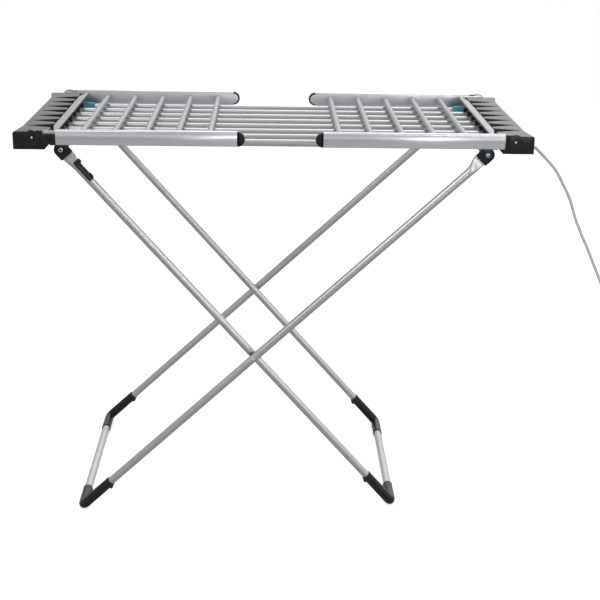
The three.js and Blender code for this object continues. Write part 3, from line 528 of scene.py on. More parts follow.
def cord_controls():
    """Control points of the free cord: straight out of the relief, the route, straight into the coil."""
    r, c = RELIEF, COIL
    width = sizes().cord_diameter

    def along(way):
        return (r["x"] + way * math.cos(r["tilt"]), r["y"], r["z"] - way * math.sin(r["tilt"]))

    start = r["nose"] + GAP
    points = [along(start), along(start + width)]
    points += [(x, c["y"], z) for x, z in CORD_ROUTE]
    points[2] = (points[2][0], (r["y"] + c["y"]) / 2, points[2][2])
    end = c["x"] - c["straight"] - GAP
    points += [(end - width, c["y"], c["z"]), (end, c["y"], c["z"])]
    return np.array(points)


def through(points, per_span=8):
    """Centripetal Catmull-Rom curve through the points, all spans at once."""
    ends = np.vstack([2 * points[0] - points[1], points, 2 * points[-1] - points[-2]])
    p0, p1, p2, p3 = ends[:-3], ends[1:-2], ends[2:-1], ends[3:]
    step = [np.sqrt(np.linalg.norm(b - a, axis=1))[:, None] for a, b in ((p0, p1), (p1, p2), (p2, p3))]
    t1 = (p1 - p0) / step[0] - (p2 - p0) / (step[0] + step[1]) + (p2 - p1) / step[1]
    t2 = (p2 - p1) / step[1] - (p3 - p1) / (step[1] + step[2]) + (p3 - p2) / step[2]
    t1, t2 = t1 * step[1], t2 * step[1]
    t = np.arange(per_span)[None, :, None] / per_span
    p1, p2, t1, t2 = (v[:, None] for v in (p1, p2, t1, t2))
    curve = ((2 * t**3 - 3 * t**2 + 1) * p1 + (t**3 - 2 * t**2 + t) * t1
             + (3 * t**2 - 2 * t**3) * p2 + (t**3 - t**2) * t2)
    return np.vstack([curve.reshape(-1, 3), points[-1:]])


def coil_line(per_loop=64):
    """The coil: spirals in, climbs a layer in the reversing half turn, spirals out again."""
    c = COIL
    turns = c["loops"] * 2 * math.pi
    inward = (turns - math.pi) / 2
    turn = np.linspace(0, turns, c["loops"] * per_loop + 1)
    spent = np.minimum(np.minimum(turn, turns - turn), inward)
    share = np.clip((turn - inward) / math.pi, 0, 1)
    radius = c["outer"] - c["pitch"] / (2 * math.pi) * spent
    rise = c["climb"] * eased(share)
    spiral = np.stack([c["x"] + radius * np.sin(turn), c["y"] + c["outer"] - radius * np.cos(turn),
                       c["z"] + rise], 1)
    tail = np.array([[c["x"] + c["tail"] * s, c["y"], c["z"] + c["climb"]] for s in (0.25, 0.5, 0.75, 1)])
    head = np.array([[c["x"] - c["straight"] * s, c["y"], c["z"]] for s in (0.66, 0.33)])
    return np.vstack([head, spiral, tail])


def tube(line, radius, count, lying_from):
    """Tube round a line: its rings lean on the world's Y where the line hangs and on Z where it lies."""
    ahead = np.gradient(line, axis=0)
    ahead /= np.linalg.norm(ahead, axis=1)[:, None]
    side = np.cross(ahead, (0.0, 1.0, 0.0))
    across = np.cross((0.0, 0.0, 1.0), ahead)
    across /= np.maximum(np.linalg.norm(across, axis=1), 1e-9)[:, None]
    lying = np.arange(len(line)) >= lying_from
    side = np.where(lying[:, None], np.cross(ahead, across), side)
    side /= np.linalg.norm(side, axis=1)[:, None]
    other = np.cross(side, ahead)
    angle = turned(count)
    ring = np.cos(angle)[None, :, None] * side[:, None] + np.sin(angle)[None, :, None] * other[:, None]
    return grid(line[:, None] + radius * ring)


def grooves(share, depth, count, start, end):
    """Depth of count round grooves along a nose: the upper half of a sine wave between two shares."""
    return depth * np.maximum(0, np.sin(share * 2 * count * math.pi)) * (share > start) * (share < end)


class AIRER_OT_cord(bpy.types.Operator):
    """Mains cord with its coil, strain relief and plug"""
    bl_idname = "airer.cord"
    bl_label = "Mains cord"

    def execute(self, context):
        plug = self.plug()
        relief = self.relief()
        hanging = through(cord_controls())
        line = np.vstack([hanging, coil_line()])
        width = sizes().cord_diameter
        cord = piece("mains_cord_run", tube(line, width / 2, 20, len(hanging)), "deck", "cord_grey",
                     ["mains_cord", "cord_coil"], "cord_rubber", 80)
        return {"FINISHED"}

    def relief(self):
        """Flanged neck through the wall and a ringed, tapered nose tilted downward."""
        r = RELIEF
        low, _ = node_box("cord_strain_relief")
        neck = past(low[0], FLANGE) + past(r["x"] - COLLAR[-1][0], COLLAR)
        first = revolve(neck, (0, r["y"], r["z"]), X_AXIS, Y_AXIS, 32)
        share = np.linspace(0, 1, 41)
        taper = r["root"] + (r["tip"] - r["root"]) * share - grooves(share, 0.0007, 5, 0.08, 0.95)
        axis = np.array([math.cos(r["tilt"]), 0, -math.sin(r["tilt"])])
        nose = revolve(np.stack([share * r["nose"], taper], 1), (r["x"], r["y"], r["z"]), axis, Y_AXIS, 32)
        return piece("strain_relief", joined(first, nose), "deck", "cord_grey", ["cord_strain_relief"],
                     "cord_rubber", 50)

    def plug(self):
        """Moulded plug on its back: crowned body, stepped rim, ringed nose and three flat pins."""
        low, high = node_box("plug")
        c, p = COIL, PLUG
        body_x, top = low[0] + p["nose"], p["top"]
        shape = round_rect((body_x, low[1]), (high[0], high[1]), PLUG_CORNERS, 8)
        pinch = np.clip((body_x + PLUG_PINCH - shape[:, 0]) / PLUG_PINCH, 0, 1)
        shape[:, 1] = c["y"] + (shape[:, 1] - c["y"]) * (1 - PLUG_PINCHED_SHARE * pinch)
        back = slab(shape, low[2] + 0.0001, top - p["back_round"], p["back_round"], plane_xy, 5)
        face = slab(drawn_in(shape, PLUG_FACE_SHARE), top - p["back_round"] - p["face"], top, p["face_round"],
                    plane_xy)
        share = np.linspace(0, 1, 33)
        radius = p["root"] + p["flare"] * share - grooves(share, 0.0006, 4, -1, 0.9)
        nose = revolve(np.stack([low[0] + share * (p["nose"] + 0.003), radius], 1),
                       (0, c["y"], c["z"] + c["climb"]), X_AXIS, Y_AXIS, 28)
        body = piece("plug_body", joined(back, face, nose), "deck", "cord_grey", ["plug"], "plug_plastic", 40)
        pins = []
        for x, y, long, across, tall in PLUG_PINS:
            x, y = x + body_x, y + c["y"]
            outline = round_rect((x - long / 2, y - across / 2), (x + long / 2, y + across / 2), 0.0004, 3)
            pins.append(slab(outline, top - 0.001, top + tall, 0.0006, plane_xy))
        metal = trim("plug", "pins", joined(*pins), "deck", "steel", "plug_plastic", 40)
        metal.parent = body
        return body


def drawn_in(outline, share):
    """An outline drawn in towards its centre."""
    centre = (outline.max(0) + outline.min(0)) / 2
    return centre + (outline - centre) * share


# The housings, in metres. Their long sides are waisted and flare over the last stretch before the end walls.

WAIST_INSET, WAIST_HALF = 0.0105, 0.200
TRAY = dict(wall=0.0025, end_wall=0.005, chamfer=0.008, corner=0.005, socket=0.0122, lid=0.0156, inside=0.001)
SOCKET = dict(radius=0.0115, bore=0.0083, root=0.002, step=0.0008)


def flare_share(y, flare_y):
    """One along the waist, falling to nothing at the end walls."""
    return np.clip((flare_y - np.abs(y)) / (flare_y - WAIST_HALF), 0, 1)


class AIRER_OT_housings(bpy.types.Operator):
    """End housings: trays with rounded edges and bar sockets"""
    bl_idname = "airer.housings"
    bl_label = "Housings"

    def execute(self, context):
        for side in SIDES:
            self.housing(side)
        repaint("heating_cable", "cord_grey")
        return {"FINISHED"}

    def housing(self, side):
        """Rounded end walls, a waisted tray between them that is swept along y, and eight sockets."""
        low, high = node_box(f"housing_{side}")
        sign = 1 if side == "right" else -1
        socket_x, outer = (sign * distance for distance in reach(f"housing_{side}", 0))
        inner = socket_x + sign * TRAY["socket"]
        width = abs(outer - inner)
        base, top, y_end = low[2], high[2], high[1]
        wall, end_wall, chamfer, corner = (TRAY[k] for k in ("wall", "end_wall", "chamfer", "corner"))
        lid_z = top - TRAY["lid"] - GAP

        def placed(outline):
            """An outline of (distance from the inner side, height), in x and z and anticlockwise."""
            outline = np.array(outline, float)
            outline[:, 0] = inner + sign * outline[:, 0]
            return outline if sign > 0 else outline[::-1]

        profile = subdivided(placed(np.vstack([
            [[chamfer, base], [width, base]], arc((width - corner, top - corner), corner, 0, 90, 7),
            [[0, top], [0, base + chamfer]]])))
        parts = [slab(profile, *span, sizes().edge_round, plane_xz)
                 for span in ((-y_end, -y_end + end_wall), (y_end - end_wall, y_end))]
        waist_wall = width - WAIST_INSET - wall
        floor, bend = base + wall, chamfer + TRAY["inside"]
        half = np.array([WAIST_HALF, y_end - end_wall, y_end - end_wall / 2])
        rings = []
        for y in (*-half[::-1], *half):
            here = width - WAIST_INSET * flare_share(y, y_end - end_wall)
            tray = placed([
                [chamfer, base], [here, base], [here, lid_z], [waist_wall, lid_z], [waist_wall, floor],
                [bend, floor], [wall, base + bend], [wall, lid_z], [0, lid_z], [0, base + chamfer]])
            rings.append(plane_xz(tray[:, 0], tray[:, 1], np.full(len(tray), y)))
        parts.append(grid(np.stack(rings)))
        parts += [self.socket(middle(f"warm_bar_{k}"), socket_x, sign) for k in BARS]
        cover(f"housing_{side}", "case", joined(*parts), "deck")

    def socket(self, place, mouth, sign):
        """Socket collar: stepped outside, open bore."""
        radius, bore, step = SOCKET["radius"], SOCKET["bore"], SOCKET["step"]
        deep = TRAY["socket"] + SOCKET["root"]
        profile = [(0, bore), (0, radius - 0.001), (0.0006, radius), (0.004, radius), (0.0045, radius - step),
                   (deep, radius - step), (deep, bore)]
        return revolve(profile, (mouth, place[1], place[2]), (sign, 0, 0), Y_AXIS, 32, close=True)


def subdivided(outline, limit=0.03):
    """Outline with extra points along long straight edges."""
    points = []
    for a, b in zip(outline, np.roll(outline, -1, 0)):
        count = max(1, int(np.linalg.norm(b - a) / limit))
        points += [a + (b - a) * k / count for k in range(count)]
    return np.array(points)


LID_RINGS, LID_POINTS = 49, 1100
# A valley's soft edge as a share of its half width, its depth at the tip, and how fast its painted shade
# turns it black.
VALLEY_EDGE, VALLEY_TIP, VALLEY_SHADE_RATE = 0.25, 0.35, 8
LID_CORNER, LID_FLARE_CORNER = 0.0012, 0.0038


class AIRER_OT_lids(bpy.types.Operator):
    """Ribbed lids with wedge valleys between the bars"""
    bl_idname = "airer.lids"
    bl_label = "Ribbed lids"

    def execute(self, context):
        for side in SIDES:
            self.lid(side)
        return {"FINISHED"}

    def lid(self, side):
        """Height over x and y: flat ribs, less a valley that narrows from the inner edge to its tip,
        less a quarter round along the outer edge."""
        low, high = node_box(f"ribbed_lid_{side}")
        inner, outer = sorted((low[0], high[0]), key=abs)
        s = sizes()
        u = np.linspace(0, 1, LID_RINGS)[:, None]
        y = np.linspace(low[1], high[1], LID_POINTS)[None]
        waist = flare_share(y, high[1] + GAP)
        width = abs(outer - inner) - WAIST_INSET * waist
        along = u * width
        pitch = middle("warm_bar_2")[1] - middle("warm_bar_1")[1]
        off = np.min(np.abs(y[..., None] - np.arange(-3, 4) * pitch), -1)
        reached = np.clip(1 - along / s.valley_length, 0, 1)
        half = s.valley_half * reached + 1e-6
        drop = np.clip((half - off) / (VALLEY_EDGE * half + 0.0004), 0, 1) * (reached > 0)
        deep = s.valley_depth * drop * (VALLEY_TIP + (1 - VALLEY_TIP) * reached)
        corner = LID_CORNER + LID_FLARE_CORNER * (1 - waist)
        bend = corner - np.sqrt(np.maximum(corner**2 - np.maximum(corner - width * (1 - u), 0)**2, 0))
        height = high[2] - bend - deep
        x = inner + math.copysign(1, outer) * along
        top = np.stack([x, np.broadcast_to(y, height.shape), height], -1)
        base = top.copy()
        base[..., 2] = low[2]
        ring = np.concatenate([top, base[:, ::-1]], 1)
        obj = cover(f"ribbed_lid_{side}", "top", grid(ring), "deck", "ribbed_plastic")
        # Painted shade: black in the valleys, and the lid's sides and underside turn black towards the base.
        painted_valley_shade = np.concatenate([np.clip(drop * VALLEY_SHADE_RATE, 0, 1), np.ones_like(drop)], 1)
        painted_shade_mask = obj.data.attributes.new("valley", "FLOAT", "POINT")
        painted_shade_mask.data.foreach_set("value", painted_valley_shade.astype(np.float32).ravel())


class AIRER_OT_warm_bars(bpy.types.Operator):
    """Eight heated bars"""
    bl_idname = "airer.warm_bars"
    bl_label = "Warm bars"

    def execute(self, context):
        for k in BARS:
            low, high = node_box(f"warm_bar_{k}")
            centre = (low + high) / 2
            part = pipe(low[0], high[0], (high[2] - low[2]) / 2, sizes().bar_wall, (0, centre[1], centre[2]),
                        X_AXIS, Y_AXIS)
            cover(f"warm_bar_{k}", "tube", part, "deck", "warm_bar")
        return {"FINISHED"}


def pipe(start, end, radius, wall, origin, axis, across, count=40):
    """Straight tube with a bore and softened mouths."""
    soft, bore = wall * 0.3, radius - wall
    profile = [(start + soft, radius), (end - soft, radius), (end, radius - soft), (end, bore + soft),
               (end - soft, bore), (start + soft, bore), (start, bore + soft), (start, radius - soft)]
    return revolve(profile, origin, axis, across, count, close=True)


# The wings, in metres: the rail's skin, then the hinge arm and the end cap.

SKIN = dict(corner=0.0035, tuck=0.9, wall=0.0015, back=0.0012, lift=0.0002, edge=0.001, soft=0.0004,
            pinch=0.0003)
ARM = dict(reach=0.030, thick=0.0087, top=0.0074, bottom=-0.015, block=0.0227, block_half=0.0155, pin=0.004,
           boss_x=0.4994, boss_z=0.0029)
# Pairs (depth past the hub's face, radius) of the hub's rim and its recess, and of the screw in it.
HUB_RIM = ((-0.0016, 0), (-0.0008, -0.0003), (-0.0002, -0.0009), (0, -0.0018))
HUB_RECESS = ((0, 0.0048), (-0.0006, 0.0042), (-0.0016, 0.0040), (-0.0016, 0.0004))
HUB_SCREW = ((-0.0026, 0.0028), (-0.0010, 0.0026), (-0.0006, 0.0018), (-0.0005, 0.0002))
BOSS = ((0.008, 0.0052), (0.0102, 0.0050), (0.0102, 0.0034), (0.009, 0.0033), (0.009, 0.0002))
CAP = dict(rim=0.0035, stub=0.015, overlap=0.004, stub_half=0.0118, clear=0.0019)


class Rail:
    """One rail of a wing: signs, measures and the map from (distance outward, height, depth) to points."""

    def __init__(self, side, place):
        self.node = f"wing_{side}_{{}}_{place}"
        self.body = f"wing_{side}"
        self.out = 1 if side == "right" else -1
        self.back = 1 if place == "rear" else -1
        rail = self.node.format("rail")
        low, high = node_box(rail)
        self.depth, self.half = high[1] - low[1], (high[2] - low[2]) / 2
        self.inner_y = reach(rail, 1)[0]
        self.free_x = reach(rail, 0)[0] + sizes().plate_free_round
        self.skin_x = reach(self.node.format("arm"), 0)[0] + ARM["reach"]
        hinge = JOINTS[f"wing_{side}_fold"]["pos_m"]
        self.hinge_x, self.z = abs(hinge[0]), hinge[2]
        self.seat = sizes().rail_plate + GAP

    def points(self, a, b, height):
        """Points from arrays of distance outward, height and depth past the rail's inner face."""
        return np.stack([self.out * a, self.back * (self.inner_y + height), b], -1)

    def turned(self, profile, x, z, count):
        """Surface of revolution about the depth axis."""
        return revolve(profile, (self.out * x, self.back * self.inner_y, z), (0, self.back, 0), X_AXIS, count)

    def block(self, x0, x1, z0, z1, corner, start, end, rim, count=4):
        """Rounded block: x outward, z from the rail's middle height, depth from the seat."""
        outline = round_rect((x0, self.z + z0), (x1, self.z + z1), corner, count)
        return slab(outline, self.seat + start, self.seat + end, rim, self.points)


class AIRER_OT_wings(bpy.types.Operator):
    """Rails, hinge arms, end caps, rods and flat bars of both wings"""
    bl_idname = "airer.wings"
    bl_label = "Wings"

    def execute(self, context):
        for side in SIDES:
            for place in PLACES:
                end = Rail(side, place)
                self.rail(end)
                self.arm(end)
                self.cap(end)
            for k in RODS:
                self.rod(side, k)
            self.flat_bar(side)
        return {"FINISHED"}

    def rail(self, end):
        """Skin: crowned outer face on a flat back, swept along x; plate with full-round ends."""
        s, k = sizes(), SKIN
        z, half, corner, wall, lift = end.z, end.half, k["corner"], k["wall"], k["lift"]
        radius = (half**2 + s.rail_crown**2) / (2 * s.rail_crown)
        swing = math.degrees(math.asin((half - corner) / radius))
        face = arc((end.depth - radius, z), radius, -swing, swing, 25)
        turn_at = face[0][0] - corner * k["tuck"]
        low_turn = arc((turn_at, z - half + corner), corner, -90, -20, 7)
        high_turn = arc((turn_at, z + half - corner), corner, 20, 90, 7)
        flat_back = [[k["back"], z + half], [lift, z + half - k["edge"]], [lift, z - half + k["edge"]],
                     [k["back"], z - half]]
        outer = np.vstack([low_turn, face, high_turn, flat_back])
        toward = np.array([outer[:, 0].mean(), z]) - outer
        unit = toward / np.linalg.norm(toward, axis=1)[:, None]
        inner = np.clip(outer + unit * wall, [s.rail_plate, z - half + wall],
                        [end.depth - wall, z + half - wall])

        def ring(outline, x):
            return end.points(np.full(len(outline), x), outline[:, 1], outline[:, 0])

        free, mouth, soft, pinch = end.free_x, end.skin_x, k["soft"], k["pinch"]
        rings = [ring(outer + unit * inset, x) for x, inset in (
            (free, pinch), (free + soft, 0), (mouth - soft, 0), (mouth, pinch))]
        skin = grid(np.stack([*rings, ring(inner, mouth), ring(inner, free)]), close_rings=True)
        turn = math.degrees(math.asin(s.plate_neck / s.plate_eye))
        step = free + 0.001
        plate = np.vstack([
            arc((free, z), s.plate_free_round, 90, 270, 24),
            [[step, z - s.plate_free_round], [step, z - half], [mouth, z - half], [mouth, z - s.plate_neck]],
            arc((end.hinge_x, z), s.plate_eye, -180 + turn, 180 - turn, 40),
            [[mouth, z + s.plate_neck], [mouth, z + half], [step, z + half], [step, z + s.plate_free_round]]])
        plate = slab(subdivided(plate, 0.05), 0.0, s.rail_plate, 0.0003, end.points)
        cover(end.node.format("rail"), "skin", joined(skin, plate), end.body, "satin_rail")

    def arm(self, end):
        """Hub disc with a softened rim and a recessed mark, neck into the rail, pivot pin; where the skin
        stands off from the block, also a stop, a ledge and a boss."""
        a, seat, z, hinge_x, skin_x = ARM, end.seat, end.z, end.hinge_x, end.skin_x
        node = end.node.format("arm")
        low, high = node_box(node)
        nearest, farthest = reach(node, 1)
        radius, face = (high[2] - low[2]) / 2, farthest - end.inner_y
        profile = [(seat, radius - 0.0004), (seat + 0.0004, radius)]
        profile += [(face + depth, radius + change) for depth, change in HUB_RIM] + past(face, HUB_RECESS)
        block_x, block_half, thick = hinge_x - a["block"], a["block_half"], a["thick"]
        pin_end, pin = nearest - end.inner_y, a["pin"]
        pin_profile = [(pin_end, pin - 0.0004), (pin_end + 0.0004, pin), (seat + 0.002, pin)]
        parts = [
            end.turned(profile, hinge_x, z, 48),
            end.block(skin_x - a["reach"], skin_x + 0.004, -0.013, a["top"] - 0.0003, 0.002, 0.0003,
                      thick - 0.0009, 0.0008),
            end.block(skin_x + GAP, hinge_x, a["bottom"], a["top"], 0.0008, 0, thick, 0.0008),
            end.block(block_x, hinge_x, -block_half, block_half, 0.0015, 0.0002, thick + 0.0003, 0.0008),
            end.turned(pin_profile, hinge_x, z, 24)]
        if block_x - skin_x > 0.01:
            stop_x = skin_x + 0.009
            parts += [
                end.block(skin_x + GAP, stop_x, -0.014, 0.0078, 0.0006, 0.008, 0.0108, 0.0005, 3),
                end.block(stop_x, block_x, -0.0148, -0.0085, 0.0012, 0.008, 0.0105, 0.0010, 3),
                end.turned(past(seat, BOSS), a["boss_x"], z + a["boss_z"], 28)]
        cover(node, "hub", joined(*parts), end.body)
        trim(node, "screw", end.turned(past(face, HUB_SCREW), hinge_x, z, 24), end.body, "steel")

    def cap(self, end):
        """Half-round end block with a rounded outer rim, over a tongue inside the skin."""
        c, node, edge = CAP, end.node.format("cap"), end.free_x - GAP
        block = slab(arc((edge, end.z), end.half, 90, 270, 28), end.seat, reach(node, 1)[1] - end.inner_y,
                     c["rim"], end.points, 6)
        stub = end.block(edge - c["overlap"], edge + c["stub"], -c["stub_half"], c["stub_half"], 0.0015, 0,
                         end.depth - c["clear"] - end.seat, 0.0006)
        cover(node, "block", joined(block, stub), end.body)

    def rod(self, side, k):
        """Round rod with softened ends."""
        node, soft = f"wing_{side}_rod_{k}", 0.0004
        low, high = node_box(node)
        centre, radius = (low + high) / 2, (high[2] - low[2]) / 2
        profile = [(low[1], radius - soft), (low[1] + soft, radius), (high[1] - soft, radius),
                   (high[1], radius - soft)]
        part = revolve(profile, (centre[0], 0, centre[2]), Y_AXIS, X_AXIS, 40)
        cover(node, "tube", part, f"wing_{side}", "coated_tube")

    def flat_bar(self, side):
        """Strip beside the housing, narrowed at both ends to clear the housing's flare."""
        node = f"wing_{side}_flat_bar"
        low, high = node_box(node)
        inner, outer = sorted((low[0], high[0]), key=abs)
        narrow = outer - math.copysign(WAIST_INSET, outer)
        end, bend, narrow_y = high[1], WAIST_HALF - 0.001, 0.2606
        outline = np.array([
            [inner, -end], [narrow, -end], [narrow, -narrow_y], [outer, -bend],
            [outer, bend], [narrow, narrow_y], [narrow, end], [inner, end]])
        if outer < 0:
            outline = outline[::-1]
        part = slab(outline, low[2], high[2], 0.0012, plane_xy, 5)
        cover(node, "strip", part, f"wing_{side}", "coated_tube")


SLEEVE = dict(soft=0.0009, bore=0.0083, lug_gap=0.0092, shoulder=0.004, lap=0.001)


class AIRER_OT_sleeves(bpy.types.Operator):
    """Teal sleeves that carry the stand's pivots"""
    bl_idname = "airer.sleeves"
    bl_label = "Sleeves"

    def execute(self, context):
        for side in SIDES:
            for place in PLACES:
                self.sleeve(side, place)
        return {"FINISHED"}

    def sleeve(self, side, place):
        """Ring on the bar, and a round-ended lug below it that carries the pivot."""
        node, right, s = f"sleeve_{side}_{place}", side == "right", SLEEVE
        low, high = node_box(node)
        back = 1 if place == "rear" else -1
        pivot_x, _, pivot_z = JOINTS["wide_frame_fold" if right else "stand_fold"]["pos_m"]
        bar = middle("warm_bar_8" if back > 0 else "warm_bar_1")
        radius, soft = high[2] - bar[2], s["soft"]
        up = [(low[0], s["bore"]), (low[0], radius - soft), (low[0] + soft * 0.3, radius - soft * 0.3),
              (low[0] + soft, radius)]
        down = [(low[0] + high[0] - x, size) for x, size in reversed(up)]
        ring = revolve(up + down, (0, bar[1], bar[2]), X_AXIS, Y_AXIS, 40, close=True)
        lug_half, top = pivot_z - low[2], bar[2] - s["lap"]
        inner_x, outer_x = (low[0], pivot_x + lug_half) if right else (high[0], pivot_x - lug_half)
        corners = [[inner_x, pivot_z - s["shoulder"]], [inner_x, top], [outer_x, top]]
        bottom = arc((pivot_x, pivot_z), lug_half, *((-135, 0) if right else (-180, -45)), 20)
        outline = np.vstack([bottom, corners[::-1] if right else corners])
        a, b = sorted((back * (abs(bar[1]) + s["lug_gap"]), back * reach(node, 1)[1]))
        lug = slab(outline, a, b, 0.0007, plane_xz)
        cover(node, "ring", joined(ring, lug), "deck" if right else "sliding_sleeves", "teal_plastic")


# The stand, in metres. Distances across are from the airer's middle plane.

TUBE_RADIUS = 0.0095
# The leg's top end: flat and wide in the bracket, easing into the round tube over the fan.
FAN = dict(first=0.0202, first_half=0.0125, start=0.0203, long=0.0347, half=0.0148, lean=0.0022, thick=0.002,
           square=0.45, foot=0.0105)
BRACKET = dict(thick=0.012, proud=0.003, half=0.0158, long=0.020, slit=0.0023, rim=0.0011, bore=0.0134)
# Pairs (depth past the bracket's face, radius) of the bolt's head, the black disc of painted shade in the
# narrow frame's round recess and the core below the wide frame's cross recess.
BOLT = ((-0.0008, 0.0055), (0.0012, 0.0055), (0.0024, 0.0050), (0.0029, 0.0040), (0.0029, 0.0026),
        (0.0010, 0.0024), (0.0010, 0.0002))
NARROW_RECESS = ((0.0009, 0.0023), (0.0013, 0.0023))
WIDE_CORE = ((0.0008, 0.0027), (0.0028, 0.0027))
# Half sizes, along and across the leg, of the two black slots of painted shade that draw the wide frame's
# cross recess.
CROSS_SLOTS = ((0.0030, 0.0006), (0.0006, 0.0030))
ELBOW = dict(radius=0.01225, knee=0.0125, draft=0.0006, lip=0.0005, tab=0.006, tab_long=0.008,
             tab_proud=0.0025)
# Distances of the rings at the upper mouth from the foot, and at the lower mouth from the tube's plane.
UPPER_MOUTH = np.array([0.095, 0.0944, 0.0905, 0.090])
LOWER_MOUTH = np.array([0.083, 0.0835, 0.0854, 0.086])


class Leg:
    """One leg of a frame: planes, direction and the map from (along, across, y) to points."""

    def __init__(self, name, joint, place):
        self.name = name
        self.node = f"{name}_{{}}_{place}"
        self.body = f"{name}_frame"
        self.back = 1 if place == "rear" else -1
        pivot = JOINTS[joint]["pos_m"]
        foot = middle(f"{name}_foot_tube")
        self.top = np.array([pivot[0], 0, pivot[2]])
        run = np.array([foot[0] - pivot[0], 0, foot[2] - pivot[2]])
        self.length = float(np.linalg.norm(run))
        self.down = run / self.length
        self.upward = np.array([-self.down[2], 0, self.down[0]])
        if self.upward[2] < 0:
            self.upward = -self.upward
        self.plane = reach(self.node.format("elbow"), 1)[1] - ELBOW["radius"]
        self.far = reach(self.node.format("bracket"), 1)[1] - BRACKET["proud"]
        self.near = self.far - BRACKET["thick"]
        self.tongue_y = (self.near + self.far) / 2

    def points(self, u, w, y):
        """Points from arrays of distance down the leg, distance across it and y."""
        return (self.top + np.asarray(u)[..., None] * self.down + np.asarray(w)[..., None] * self.upward
                + np.asarray(y)[..., None] * np.array([0, 1.0, 0]))

    def slab(self, outline, start, end, rim):
        """Plate between two distances from the middle plane."""
        return slab(outline, *sorted((self.back * start, self.back * end)), rim, self.points)

    def turned(self, profile, count, centre=None):
        """Surface of revolution about a line across the leg, through the pivot unless told otherwise."""
        return revolve(profile, self.top if centre is None else centre, (0, self.back, 0), X_AXIS, count)


